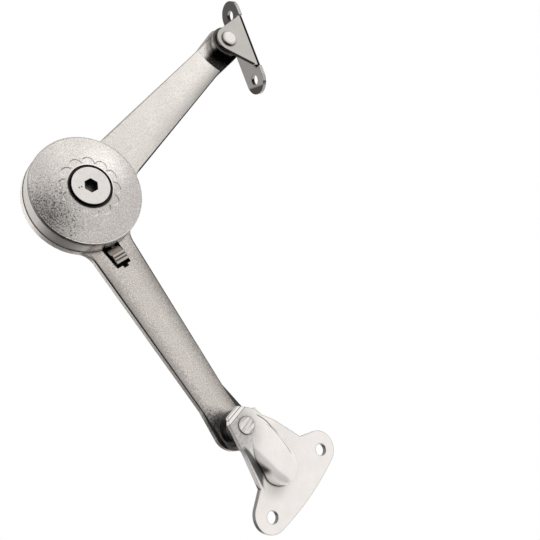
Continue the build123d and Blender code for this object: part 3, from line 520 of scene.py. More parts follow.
@dataclass(frozen=True)
class CastNickel(Finish):
    """Satin nickel plate on a casting, with a fine sparkling grain.

    Attributes:
        grain: grains per metre.
        grain_share: how far the grains differ in lightness.
        grain_span: values of the pattern that are darkest and lightest.
        grain_depth: height of the grains.
        pits: a pitted place with its smooth darkening, or none.
    """

    clouds: Clouds = Clouds(160.0, 3.0, (0.35, 0.65), 0.94)
    grain: float = 2600.0
    grain_share: float = 0.18
    grain_span: Pair = (0.36, 0.64)
    grain_depth: float = 0.04 * MM
    pits: Pits | None = None

    def sparkle(self, sheet: NodeSheet) -> Socket:
        """Gives the pattern of the grain."""
        return sheet.noise(self.grain, detail=2.0, rough=0.7)

    def paint(self, sheet: NodeSheet) -> Socket:
        """Writes the grained colour with its clouds, its pits and its painted shade.

        Args:
            sheet: writer of the material's nodes.

        Returns:
            The colour socket.
        """
        ends = (self.share(1.0 - self.grain_share), self.share(1.0 + self.grain_share))
        grains = sheet.ramp(self.sparkle(sheet), list(zip(self.grain_span, ends)))
        return self.wear_and_painted_shade(sheet, self.clouds.over(sheet, grains))

    def relief(self, sheet: NodeSheet, rounded: Socket) -> Socket:
        """Raises the grain over the plain normal."""
        return sheet.bump(self.sparkle(sheet), self.grain_depth, rounded)

    def wear_and_painted_shade(self, sheet: NodeSheet, colour: Socket) -> Socket:
        """Lays the pits and their smooth darkening, if there are any.

        Args:
            sheet: writer of the material's nodes.
            colour: the grained colour.

        Returns:
            The colour socket.
        """
        if self.pits is None:
            return colour
        return sheet.mix(self.pits.dig(sheet), colour, self.share(self.pits.shade))


@dataclass(frozen=True)
class CoverNickel(CastNickel):
    """The cover's nickel, with painted shade that grows away from its lit top, and painted highlights and
    painted shade on its edges.

    Attributes:
        light_side: middle of the lit top, from which the painted shade grows.
        fade: distances from it where the painted shade starts and ends.
        fade_shade: lightness of the painted shade at both of them.
        light_way: way towards the light; edges that lean towards it get painted highlights, those that
            lean away get painted shade.
        full_lean: lean at which an edge's painted highlight and painted shade are full.
        line_shade: lightness of the painted shade and of the painted highlight on the edges.
        upper_lean: leans of a wall that is fully dark and of one that is left as it is.
        upper_dark: how dark the painted shade on the upper wall is.
    """

    light_side: Point = (0.0, 0.0, 0.0)
    fade: Pair = (9.0 * MM, 19.0 * MM)
    fade_shade: Pair = (1.03, 0.76)
    light_way: Point = (-0.35, 0.0, -0.94)
    full_lean: float = 0.1
    line_shade: Pair = (0.05, 1.95)
    upper_lean: Pair = (-0.6, 0.0)
    upper_dark: float = 0.8

    def wear_and_painted_shade(self, sheet: NodeSheet, colour: Socket) -> Socket:
        """Paints shade: a little away from the lit top, and much, with pits, on the lower left."""
        # Painted shade that grows away from the lit top.
        fade = sheet.span(sheet.away(self.light_side), *self.fade, *self.fade_shade)
        return super().wear_and_painted_shade(sheet, sheet.shaded(colour, fade))

    def painted_edge_shade(self, sheet: NodeSheet, rounded: Socket) -> Socket:
        """Gives painted highlights and painted shade as the edges lean, and painted shade on the upper
        wall.

        Args:
            sheet: writer of the material's nodes.
            rounded: the normal that turns over at the edges.

        Returns:
            The value socket.
        """
        # Painted highlights and shade on edges as they lean to the light, and painted shade on the upper
        # wall.
        flat = sheet.dot(sheet.normal(), self.light_way)
        lean = sheet.math("SUBTRACT", sheet.dot(rounded, self.light_way), flat)
        lines = sheet.span(lean, -self.full_lean, self.full_lean, *self.line_shade)
        dark = sheet.span(flat, *self.upper_lean, self.upper_dark, 0.0)
        return sheet.times(lines, sheet.flip(sheet.times(sheet.flip(self.facing(sheet)), dark)))


@dataclass(frozen=True)
class ArmNickel(CastNickel):
    """An arm's nickel, with painted shade: darker bands and dark lines along both edges, and black at one
    end.

    Lengths along the arm count from its start, and its upper edge is the one that looks up.

    Attributes:
        start: the arm's pivot that the lengths start from.
        angle: the arm's direction from the X axis, in degrees.
        length: length of its face.
        upper_edge: from the middle line to the upper edge, at both ends of the face.
        lower_edge: from the middle line to the lower edge, at both ends of the face.
        bands: lightness of the painted shade across the face, from its lower to its upper edge.
        bands_run: lengths where the bands start and where they are full.
        outlines: lightness of the painted shade lines along both edges, as the bands.
        outlines_run: lengths where the lines start and where they are full.
        outlined_from: height above which the lines cover the side walls too.
        wall_gain: lightness painted on the side walls; above one it is painted light, below one painted
            shade.
        black_from: height from which the arm gets a painted black shade.
        black_about: pivot of the arm's end in painted black shade, on the cabinet wall's plane.
        black_reach: distance from it where the painted black shade ends, or zero where no end has it.
        black_across: places across the arm where the painted black shade starts and is full.
        black: colour of the painted black shade.
        speck: colour of the lighter specks in it.
        speck_scale: specks per metre.
        speck_span: values of the pattern that are black and that are specks.
    """

    start: Point = (0.0, 0.0, 0.0)
    angle: float = 0.0
    length: float = 90.0 * MM
    upper_edge: Pair = (8.0 * MM, 6.0 * MM)
    lower_edge: Pair = (8.0 * MM, 6.0 * MM)
    bands: tuple[Pair, ...] = ((0.0, 1.0), (1.0, 1.0))
    bands_run: Pair = (16.0 * MM, 40.0 * MM)
    outlines: tuple[Pair, ...] = ((0.0, 1.0), (1.0, 1.0))
    outlines_run: Pair = (18.0 * MM, 21.0 * MM)
    outlined_from: float = 20.0 * MM
    wall_gain: float = 1.0
    black_from: float = 20.0 * MM
    black_about: Point = (0.0, 0.0, 0.0)
    black_reach: float = 0.0
    black_across: Pair = (3.4 * MM, 0.4 * MM)
    black: Colour = tint(0.018, 0.017, 0.016)
    speck: Colour = tint(0.10, 0.095, 0.09)
    speck_scale: float = 1500.0
    speck_span: Pair = (0.55, 0.75)

    def wear_and_painted_shade(self, sheet: NodeSheet, colour: Socket) -> Socket:
        """Paints shade along the long edges, lightness on the side walls and black shade at the end, and
        lays the pits.

        Args:
            sheet: writer of the material's nodes.
            colour: the grained colour.

        Returns:
            The colour socket.
        """
        turn = math.radians(self.angle)
        offset = sheet.offset(self.start)
        along = sheet.dot(offset, (math.cos(turn), 0.0, math.sin(turn)))
        across = sheet.dot(offset, (-math.sin(turn), 0.0, math.cos(turn)))
        share = self.share_across(sheet, along, across)
        face = self.facing(sheet)
        # Painted shade: bands and edge lines darker towards both edges of the face.
        banded = sheet.shaded(colour, sheet.bands(share, self.bands))
        colour = sheet.mix(sheet.times(sheet.span(along, *self.bands_run), face), colour, banded)
        high = sheet.above(sheet.height(), self.outlined_from, soft=0.2 * MM)
        lined = sheet.times(sheet.math("MAXIMUM", face, high), sheet.span(along, *self.outlines_run))
        colour = sheet.mix(lined, colour, sheet.shaded(colour, sheet.bands(share, self.outlines)))
        colour = super().wear_and_painted_shade(sheet, colour)
        # Painted light and shade on the side walls.
        colour = sheet.shaded(colour, sheet.span(face, 0.0, 1.0, self.wall_gain, 1.0))
        # Painted black shade at the end, with lighter specks.
        pattern = sheet.noise(self.speck_scale, detail=2.0, rough=0.6)
        specks = sheet.ramp(pattern, list(zip(self.speck_span, (self.black, self.speck))))
        return sheet.mix(self.painted_black_shade(sheet, across), colour, specks)

    def share_across(self, sheet: NodeSheet, along: Socket, across: Socket) -> Socket:
        """Gives the place across the tapering face, from 0 at its lower edge to 1 at its upper one.

        Args:
            sheet: writer of the material's nodes.
            along: the length along the arm.
            across: the distance from its middle line.

        Returns:
            The value socket.
        """
        low = sheet.span(along, 0.0, self.length, -self.lower_edge[0], -self.lower_edge[1])
        high = sheet.span(along, 0.0, self.length, *self.upper_edge)
        return sheet.math("DIVIDE", sheet.math("SUBTRACT", across, low), sheet.math("SUBTRACT", high, low))

    def painted_black_shade(self, sheet: NodeSheet, across: Socket) -> Socket:
        """Gives one where the arm gets painted black shade, and none elsewhere.

        Args:
            sheet: writer of the material's nodes.
            across: the distance from the arm's middle line.

        Returns:
            The value socket.
        """
        high = sheet.above(sheet.height(), self.black_from, soft=0.1 * MM)
        near = sheet.below(sheet.away_in_plan(self.black_about), self.black_reach, soft=0.1 * MM)
        beside = sheet.span(across, *self.black_across, smooth=True)
        return sheet.math("MAXIMUM", high, sheet.times(near, beside))


@dataclass(frozen=True)
class BrushedMetal(Finish):
    """Sheet or turned metal with faint drawn lines.

    Attributes:
        lines: stretch of the lines along each axis.
        turn: their turn about the hinge axes, in radians.
        scale: lines per metre.
        depth: height of the lines.
        contrast: how far they differ in lightness.
        line_span: values of the pattern that are darkest and lightest.
        wall_shade: lightness of the painted shade on the walls that are turned from the front.
        spots: middles of small dark spots.
        spot_radii: radii where a spot is full and where it ends.
        spot_shade: lightness of a full spot.
    """

    clouds: Clouds = Clouds(220.0, 2.0, (0.3, 0.7), 0.94)
    lines: Point = (1.0, 1.0, 0.06)
    turn: float = 0.0
    scale: float = 6000.0
    depth: float = 0.01 * MM
    contrast: float = 0.08
    line_span: Pair = (0.3, 0.7)
    wall_shade: float = 1.0
    spots: tuple[Point, ...] = ()
    spot_radii: Pair = (0.2 * MM, 0.32 * MM)
    spot_shade: float = 0.05

    def drawn(self, sheet: NodeSheet) -> Socket:
        """Gives the pattern of the drawn lines."""
        return sheet.noise(self.scale, detail=2.0, rough=0.6, stretch=self.lines, turn=self.turn)

    def relief(self, sheet: NodeSheet, rounded: Socket) -> Socket:
        """Raises the drawn lines over the plain normal."""
        return sheet.bump(self.drawn(sheet), self.depth, rounded)

    def paint(self, sheet: NodeSheet) -> Socket:
        """Writes the colour with its drawn lines, clouds, spots and painted shade on its walls.

        Args:
            sheet: writer of the material's nodes.

        Returns:
            The colour socket.
        """
        ends = (self.share(1.0 - self.contrast), self.colour)
        colour = self.clouds.over(sheet, sheet.ramp(self.drawn(sheet), list(zip(self.line_span, ends))))
        for spot in self.spots:
            pit = sheet.span(sheet.away(spot), *self.spot_radii, self.spot_shade, 1.0)
            colour = sheet.shaded(colour, pit)
        # Painted shade on the walls turned from the front.
        if self.wall_shade < 1.0:
            colour = sheet.mix(sheet.flip(self.facing(sheet)), colour, self.share(self.wall_shade))
        return colour


@dataclass(frozen=True)
class SliderMetal(BrushedMetal):
    """The slider's metal, with painted black shade at the bottom of its window.

    Attributes:
        black_below: height under which it gets painted black shade.
        black: colour of the painted black shade.
    """

    black_below: float = 3.4 * MM
    black: Colour = grey(0.01)

    def paint(self, sheet: NodeSheet) -> Socket:
        """Writes the drawn colour and paints black shade over the low flange."""
        # Painted black shade low in the window.
        low = sheet.below(sheet.height(), self.black_below, soft=0.5 * MM)
        return sheet.mix(low, super().paint(sheet), self.black)


@dataclass(frozen=True)
class DrawnNickel(BrushedMetal):
    """Bright nickel on the drawn bracket, with painted shade on the lug's corner and painted shadow beside
    its finger.

    Places on the bracket are given as its side, along the row of holes to the right, and as its
    run, from that row up to the lug. A pair of places is where a shade starts and where it is
    full, or the other way round for an end.

    Attributes:
        angle: direction of the row of holes, in degrees.
        corner: middle of the painted shade on the lug's corner.
        corner_reach: distances from it where the painted shade is full and where it ends.
        corner_shade: lightness of the painted shade on the corner.
        mottle_scale: patches per metre in the painted shade on the corner.
        mottle_span: values of their pattern that are darkest and lightest.
        mottle_share: share of the painted shade in the darkest and the lightest patches.
        lug_lines: runs of the two painted shade lines across the lug's tip, at its bevels.
        line_reach: half the width of the lines.
        line_shade: their lightness.
        wedge_left: sides of the left edge of the painted shadow wedge beside the finger.
        wedge_right: sides of its right edge.
        wedge_lean: lean of the right edge.
        wedge_start: runs where the wedge starts.
        wedge_end: runs where it ends.
        wedge_slant: lean of its lower end.
        wedge_foot: places across that end.
        wedge_shade: lightness of the painted shadow in the wedge.
        wall_sides: sides between which the finger's left wall gets the painted shadow too.
        wall_start: runs where the painted shadow starts on it.
        wall_height: height where it ends.
        foot: middle of the soft shade under the finger's tip.
        foot_reach: distances from it where the shade is full and where it ends.
        foot_share: share of the full shade.
        foot_shade: lightness of the shade.
        crease: middle of the round painted shade line in the crease on the finger's right.
        crease_radii: its inner and its outer radius.
        crease_run: runs where it starts and ends.
        crease_shade: lightness of the painted shade line.
        leftward: the way that the walls of the base and its holes with painted shade face.
        leftward_turn: cosines of the angle from it where the painted shade starts and is full.
        leftward_share: share of the full painted shade.
        leftward_shade: lightness of the painted shade.
        base_height: height where the base ends.
    """

    angle: float = 0.0
    corner: Point = (-28.7 * MM, -11.8 * MM, 20.0 * MM)
    corner_reach: Pair = (4.2 * MM, 14.0 * MM)
    corner_shade: float = 0.3
    mottle_scale: float = 1500.0
    mottle_span: Pair = (0.35, 0.65)
    mottle_share: Pair = (0.85, 0.5)
    lug_lines: Pair = (36.1 * MM, 37.4 * MM)
    line_reach: float = 0.12 * MM
    line_shade: float = 0.15
    wedge_left: Pair = (-11.5 * MM, -10.9 * MM)
    wedge_right: Pair = (-6.0 * MM, -5.4 * MM)
    wedge_lean: float = 0.15
    wedge_start: Pair = (3.0 * MM, 8.0 * MM)
    wedge_end: Pair = (26.0 * MM, 28.5 * MM)
    wedge_slant: float = -1.4
    wedge_foot: Pair = (23.4 * MM, 26.4 * MM)
    wedge_shade: float = 0.1
    wall_sides: Pair = (-11.2 * MM, -7.0 * MM)
    wall_start: Pair = (12.0 * MM, 16.0 * MM)
    wall_height: float = 8.2 * MM
    foot: Point = (-9.6 * MM, -2.0 * MM, -0.1 * MM)
    foot_reach: Pair = (0.65 * MM, 6.5 * MM)
    foot_share: float = 0.3
    foot_shade: float = 0.2
    crease: Point = (-33.7 * MM, -11.0 * MM, 0.75 * MM)
    crease_radii: Pair = (28.45 * MM, 28.8 * MM)
    crease_run: Pair = (12.5 * MM, 31.0 * MM)
    crease_shade: float = 0.16
    leftward: Point = (-0.97, 0.0, 0.24)
    leftward_turn: Pair = (0.3, 0.6)
    leftward_share: float = 0.85
    leftward_shade: float = 0.05
    base_height: float = 2.1 * MM

    def paint(self, sheet: NodeSheet) -> Socket:
        """Writes the drawn colour and lays each painted shade of the bracket over it.

        Args:
            sheet: writer of the material's nodes.

        Returns:
            The colour socket.
        """
        turn = math.radians(self.angle)
        side = sheet.dot(sheet.place(), (math.cos(turn), 0.0, math.sin(turn)))
        run = sheet.dot(sheet.place(), (-math.sin(turn), 0.0, math.cos(turn)))
        lower, upper = self.lug_lines
        foot = sheet.span(sheet.away(self.foot), *self.foot_reach, self.foot_share, 0.0, True)
        colour = super().paint(sheet)
        # Painted shade: corner, lug lines, crease, foot, shadow wedge and left walls.
        for share, lightness in (
            (self.painted_corner_shade(sheet, run), self.corner_shade),
            (self.lug_line(sheet, run, lower), self.line_shade),
            (self.lug_line(sheet, run, upper), self.line_shade),
            (self.painted_crease_shade(sheet, run), self.crease_shade),
            (foot, self.foot_shade),
            (self.painted_wedge_shadow(sheet, side, run), self.wedge_shade),
            (self.painted_left_wall_shade(sheet), self.leftward_shade),
        ):
            colour = sheet.mix(share, colour, self.share(lightness))
        return colour

    def painted_corner_shade(self, sheet: NodeSheet, run: Socket) -> Socket:
        """Gives the mottled share of the painted shade on the lug's corner, which ends at the lines of its
        tip.

        Args:
            sheet: writer of the material's nodes.
            run: the place up the bracket.

        Returns:
            The value socket.
        """
        # Painted shade on the lug's corner.
        near = sheet.fall(sheet.away(self.corner), *self.corner_reach, True)
        pattern = sheet.noise(self.mottle_scale, detail=3.0, rough=0.7)
        mottle = sheet.span(pattern, *self.mottle_span, *self.mottle_share)
        return sheet.times(near, sheet.below(run, self.lug_lines[0], soft=0.3 * MM), mottle)

    def lug_line(self, sheet: NodeSheet, run: Socket, place: float) -> Socket:
        """Gives one on a painted shade line across the lug's tip, and none elsewhere."""
        # Painted shade line at a bevel of the lug's tip.
        return sheet.within(run, (place - self.line_reach, place + self.line_reach), soft=0.15 * MM)

    def painted_crease_shade(self, sheet: NodeSheet, run: Socket) -> Socket:
        """Gives one on the round painted shade line in the crease on the finger's right, and none
        elsewhere.
        """
        # Painted shade line in the crease.
        return sheet.times(sheet.within(sheet.away(self.crease), self.crease_radii, soft=0.15 * MM),
                           sheet.within(run, self.crease_run, soft=1.5 * MM))

    def painted_wedge_shadow(self, sheet: NodeSheet, side: Socket, run: Socket) -> Socket:
        """Gives one in the painted shadow wedge on the left of the finger and on the wall there, and none
        elsewhere.

        Args:
            sheet: writer of the material's nodes.
            side: the place across the bracket.
            run: the place up the bracket.

        Returns:
            The value socket.
        """
        # Painted shadow of the finger on the wedge and on the wall beside it.
        leaned = sheet.math("ADD", side, sheet.times(run, self.wedge_lean))
        slanted = sheet.math("ADD", run, sheet.times(side, self.wedge_slant))
        strip = sheet.times(sheet.span(side, *self.wedge_left),
                            sheet.fall(leaned, *self.wedge_right),
                            sheet.span(slanted, *self.wedge_foot, smooth=True))
        wall = sheet.times(sheet.within(side, self.wall_sides, soft=0.6 * MM),
                           sheet.flip(self.facing(sheet)),
                           sheet.below(sheet.height(), self.wall_height, soft=1.0 * MM),
                           sheet.span(run, *self.wall_start, smooth=True))
        return sheet.times(sheet.math("MAXIMUM", strip, wall),
                           sheet.span(run, *self.wedge_start, smooth=True),
                           sheet.fall(run, *self.wedge_end, smooth=True))

    def painted_left_wall_shade(self, sheet: NodeSheet) -> Socket:
        """Gives a large share of painted shade on the walls of the base that face left, as in its holes.

        Args:
            sheet: writer of the material's nodes.

        Returns:
            The value socket.
        """
        # Painted shade on the walls that face left.
        leftward = sheet.dot(sheet.normal(), self.leftward)
        share = sheet.span(leftward, *self.leftward_turn, 0.0, self.leftward_share)
        return sheet.times(share, sheet.below(sheet.height(), self.base_height, soft=0.2 * MM))


@dataclass(frozen=True)
class FoldedNickel(BrushedMetal):
    """Nickel on the folded bracket, with painted shade in bands along the fold on its inner plate face.

    Attributes:
        middle: the bracket's pivot, on the cabinet wall's plane.
        inward: the way that the plate's inner face looks.
        along: the way down the fold, leaned a little so that the bands run aslant; its length
            isn't one.
        reach: half the length that the bands share.
        bands: lightness of the painted shade along the plate's inner face.
        blue: share of blue in the bands.
        fold: distances from the pivot of the painted shade stripe beside the fold.
        fold_run: places along the fold where the stripe starts and ends.
        fold_height: height where the stripe starts.
        ear_height: height of the ear's front; what faces the front below it gets painted shade.
        dark_shade: lightness of the painted shade in the stripe and below the ear's front.
    """

    middle: Point = (0.0, 0.0, 0.0)
    inward: Point = (-0.971, 0.0, -0.239)
    along: Point = (0.239, 0.3, -0.971)
    reach: float = 25.0 * MM
    bands: tuple[Pair, ...] = ((0.0, 0.2), (0.3, 0.2), (0.34, 0.66), (0.835, 0.71), (0.85, 0.14),
                               (1.0, 0.14))
    blue: float = 1.04
    fold: Pair = (9.3 * MM, 10.8 * MM)
    fold_run: Pair = (-13.4 * MM, 9.0 * MM)
    fold_height: float = 10.0 * MM
    ear_height: float = 11.3 * MM
    dark_shade: float = 0.04

    def paint(self, sheet: NodeSheet) -> Socket:
        """Writes the drawn colour, the painted shade on the inner face and the painted shade stripe beside
        the fold.

        Args:
            sheet: writer of the material's nodes.

        Returns:
            The colour socket.
        """
        colour = super().paint(sheet)
        offset = sheet.offset(self.middle)
        down = sheet.dot(offset, self.along)
        # Painted shade in bands along the inner face.
        shades = sheet.bands(sheet.span(down, -self.reach, self.reach), self.bands, self.blue)
        colour = sheet.mix(self.facing(sheet, self.inward), colour, sheet.shaded(colour, shades))
        outward = tuple(-part for part in self.inward)
        # Painted shade stripe beside the fold, and painted shade below the ear's front.
        stripe = sheet.times(sheet.within(sheet.dot(offset, outward), self.fold, soft=0.12 * MM),
                             sheet.above(sheet.height(), self.fold_height, soft=0.2 * MM),
                             sheet.within(down, self.fold_run, soft=0.1 * MM))
        low = sheet.below(sheet.height(), self.ear_height, soft=0.2 * MM)
        dark = sheet.math("MAXIMUM", stripe, sheet.times(self.facing(sheet), low))
        return sheet.mix(dark, colour, self.share(self.dark_shade))


# --------------------------------------------------------------------------- the object's parts
@dataclass
class Assembly:
    """A group of pieces that are dressed together.

    Attributes:
        finishes: finish of each piece, by the piece's name.
    """

    finishes: dict[str, Finish] = field(default_factory=dict)

    def dress(self, nodes: dict[str, bpy.types.Object]) -> None:
        """Gives each piece its finish.

        Args:
            nodes: the frame's pieces by name.
        """
        made: dict[Finish, bpy.types.Material] = {}
        for name, finish in self.finishes.items():
            if finish not in made:
                made[finish] = finish.make()
            piece = nodes[name]
            piece.data.materials.clear()
            piece.data.materials.append(made[finish])
            log.info("dressed %s with %s", name, finish.name)


@dataclass
class ElbowHead(Assembly):
    """The round elbow with its cover, tension screw and friction pack.

    Attributes:
        axis: the elbow's axis, at the height of the cover's rim.
        head_height: height of the screw's head.
    """

    axis: Point = (-70.6 * MM, -11.0 * MM, 105.5 * MM)
    head_height: float = 15.0 * MM

    def __post_init__(self) -> None:
        """Chooses the finish of each piece."""
        inner = BrushedMetal("inner steel", grey(0.55), 0.35)
        liner = BrushedMetal("inner brass", tint(0.72, 0.56, 0.28), 0.4)
        self.finishes = {
            "cover_disc": self.cover(),
            "cover_seal": Finish("black seal", grey(0.008), 0.6, Metal.NONE),
            "tension_screw": self.screw(),
            "elbow_stud": inner,
            "clutch_ring": inner,
            "inner_friction_plates": inner,
            "pressure_plate": inner,
            "thrust_washer": inner,
            "disc_springs": inner,
            "glide_washer": liner,
            "outer_friction_plate": liner,
        }

    def cover(self) -> Finish:
        """Gives the cover's finish, with painted shade that grows away from its top and, with pits, on its
        lower left.

        Returns:
            The finish.
        """
        x, y, z = self.axis
        return CoverNickel(
            "cover nickel", tint(0.74, 0.71, 0.685), 0.3,
            rim=0.45 * MM,
            grain_share=0.26,
            light_side=(x, y, z + 15.0 * MM),
            # Painted shade on the cover's lower left, with pits in it.
            pits=Pits((x - 16.5 * MM, y, z - 11.0 * MM), reach=20.0 * MM, dark=0.95),
        )

    def screw(self) -> Finish:
        """Gives the screw's finish, with painted shade that blackens its socket and two dark specks beside
        it.

        Returns:
            The finish.
        """
        x, _, z = self.axis
        specks = ((-4.2 * MM, -1.1 * MM), (-3.3 * MM, -0.7 * MM))
        return BrushedMetal(
            "screw nickel", tint(0.79, 0.765, 0.75), 0.28,
            # Painted shade: a long reach blackens the socket.
            hollow=6.0 * MM, hollow_shade=0.02,
            lines=(1.0, 1.0, 1.0), scale=900.0, depth=0.004 * MM,
            spots=tuple((x + right, -self.head_height, z + up) for right, up in specks),
        )


@dataclass
class Arms(Assembly):
    """Both cast arms and the slider in the lower one.

    Attributes:
        elbow: the elbow's axis on the cabinet wall's plane.
        lid_pivot: the lid bracket's axis on that plane.
        upper_angle: direction of the upper arm, in degrees.
        lower_angle: direction of the lower arm.
        upper_face: length of the upper arm's face.
        lower_face: length of the lower arm's face.
    """

    elbow: Point = (-70.6 * MM, 0.0, 105.5 * MM)
    lid_pivot: Point = (-6.6 * MM, 0.0, 173.9 * MM)
    upper_angle: float = 46.92
    lower_angle: float = -60.47
    upper_face: float = 79.0 * MM
    lower_face: float = 84.0 * MM

    def __post_init__(self) -> None:
        """Chooses the finish of each piece."""
        self.finishes = {
            "upper_arm": self.upper(),
            "lower_arm": self.lower(),
            "slider_button": SliderMetal("slider bronze grey", tint(0.50, 0.46, 0.43), 0.3),
            "slider_plate": BrushedMetal("slider plate steel", grey(0.5), 0.35),
            "detent_leaf": BrushedMetal("leaf steel", grey(0.5), 0.3),
        }

    def upper(self) -> Finish:
        """Gives the upper arm's finish, with painted shade that darkens below towards its tongue, which is
        painted black as shade.

        Returns:
            The finish.
        """
        return ArmNickel(
            "upper arm nickel", tint(0.73, 0.70, 0.67), 0.3,
            grain_share=0.16,
            start=self.elbow, angle=self.upper_angle, length=self.upper_face,
            upper_edge=(8.75 * MM, 5.85 * MM), lower_edge=(9.15 * MM, 6.25 * MM),
            bands=((0.0, 0.12), (0.1, 0.42), (0.22, 0.7), (0.38, 0.93), (0.5, 1.0), (1.0, 1.0)),
            bands_run=(16.0 * MM, 90.0 * MM),
            outlines=((0.0, 0.03), (0.018, 0.05), (0.03, 1.0), (0.97, 1.0), (0.98, 0.6), (1.0, 0.5)),
            outlined_from=8.6 * MM,
            wall_gain=0.85,
            black_about=self.lid_pivot, black_reach=14.4 * MM,
        )

    def lower(self) -> Finish:
        """Gives the lower arm's finish, with painted shade lines along its edges and painted black shade
        on its boss.

        Returns:
            The finish.
        """
        return ArmNickel(
            "lower arm nickel", tint(0.60, 0.565, 0.54), 0.3,
            rim=0.35 * MM, rim_shade=0.12, hollow=1.3 * MM,
            grain_share=0.3,
            start=self.elbow, angle=self.lower_angle, length=self.lower_face,
            upper_edge=(8.6 * MM, 5.4 * MM), lower_edge=(9.3 * MM, 6.7 * MM),
            bands=((0.0, 0.45), (0.06, 0.6), (0.18, 0.86), (0.32, 1.03), (0.6, 1.03), (0.8, 0.82),
                   (0.94, 0.55), (1.0, 0.42)),
            bands_run=(12.0 * MM, 30.0 * MM),
            outlines=((0.0, 0.08), (0.022, 0.12), (0.036, 1.0), (0.975, 1.0), (0.985, 0.3), (1.0, 0.25)),
            wall_gain=1.5,
            pits=Pits((-31.5 * MM, -3.5 * MM, 24.0 * MM), reach=9.0 * MM, dark=0.9),
            black_from=3.65 * MM,
        )


@dataclass
class CabinetEnd(Assembly):
    """The drawn T bracket on the cabinet with its pivot.

    Attributes:
        row_angle: direction of the bracket's row of holes, in degrees.
        drawn_depth: height of the lines that the drawing leaves.
    """

    row_angle: float = 39.4
    drawn_depth: float = 0.003 * MM

    def __post_init__(self) -> None:
        """Chooses the finish of each piece."""
        self.finishes = {
            "cabinet_bracket": DrawnNickel(
                "bracket nickel", tint(0.95, 0.915, 0.89), 0.24, Metal.SATIN,
                rim=0.4 * MM, rim_shade=0.3, rim_turn=(0.93, 0.996),
                hollow=1.0 * MM, hollow_shade=0.1, hollow_open=(0.6, 0.93),
                depth=self.drawn_depth, angle=self.row_angle,
            ),
            "cabinet_rivet": BrushedMetal(
                "rivet steel", tint(0.93, 0.90, 0.88), 0.3,
                rim=0.4 * MM, rim_shade=0.2,
                lines=(1.0, 1.0, 0.12), turn=0.87, scale=1800.0, depth=0.02 * MM, contrast=0.6,
            ),
            "cabinet_washer": BrushedMetal("dark washer", tint(0.10, 0.095, 0.09), 0.4),
        }


@dataclass
class LidEnd(Assembly):
    """The folded lid bracket with its pivot.

    Attributes:
        pivot: the lid bracket's axis on the cabinet wall's plane.
        drawn_depth: height of the lines that the rolling leaves.
    """

    pivot: Point = (-6.6 * MM, 0.0, 173.9 * MM)
    drawn_depth: float = 0.003 * MM

    def __post_init__(self) -> None:
        """Chooses the finish of each piece."""
        self.finishes = {
            "lid_bracket": FoldedNickel(
                "lid bracket nickel", tint(0.44, 0.422, 0.402), 0.24,
                depth=self.drawn_depth, middle=self.pivot,
            ),
            "lid_rivet": BrushedMetal(
                "lid rivet nickel", tint(0.71, 0.68, 0.67), 0.28,
                rim_shade=0.2, depth=self.drawn_depth, wall_shade=0.35,
            ),
            "lid_washer": BrushedMetal("dark spacer", tint(0.12, 0.115, 0.11), 0.4),
        }


# --------------------------------------------------------------------------- the studio
@dataclass(frozen=True)
class Flag:
    """A dark studio flag that only metal shows.

    Attributes:
        way: the way in which it stands, seen from the stay.
        core: half angle of its full shade, in degrees.
        edge: half angle where the shade ends.
        level: lightness of the full shade.
    """

    way: Point
    core: float
    edge: float
    level: float

    def shade(self, sheet: NodeSheet, toward: Socket) -> Socket:
        """Gives the flag's shade.

        Args:
            sheet: writer of the world's nodes.
            toward: the direction looked at.

        Returns:
            The value socket.
        """
        nearness = sheet.dot(toward, tuple(Vector(self.way).normalized()))
        edge, core = math.cos(math.radians(self.edge)), math.cos(math.radians(self.core))
        return sheet.span(nearness, edge, core, 1.0, self.level, True)


@dataclass(frozen=True)
class Lamp:
    """A square soft light.

    Attributes:
        name: the light's name.
        place: where it hangs, in metres.
        size: its edge, in metres.
        power: its power, in watts.
    """

    name: str
    place: Point
    size: float
    power: float

    def hang(self, target: Point) -> None:
        """Adds the light.

        Args:
            target: what it is turned to.
        """
        bpy.ops.object.light_add(type="AREA", location=self.place)
        light = bpy.context.object
        light.name = self.name
        light.data.size = self.size
        light.data.energy = self.power
        aim = Vector(target) - Vector(self.place)
        light.rotation_euler = aim.to_track_quat("-Z", "Y").to_euler()


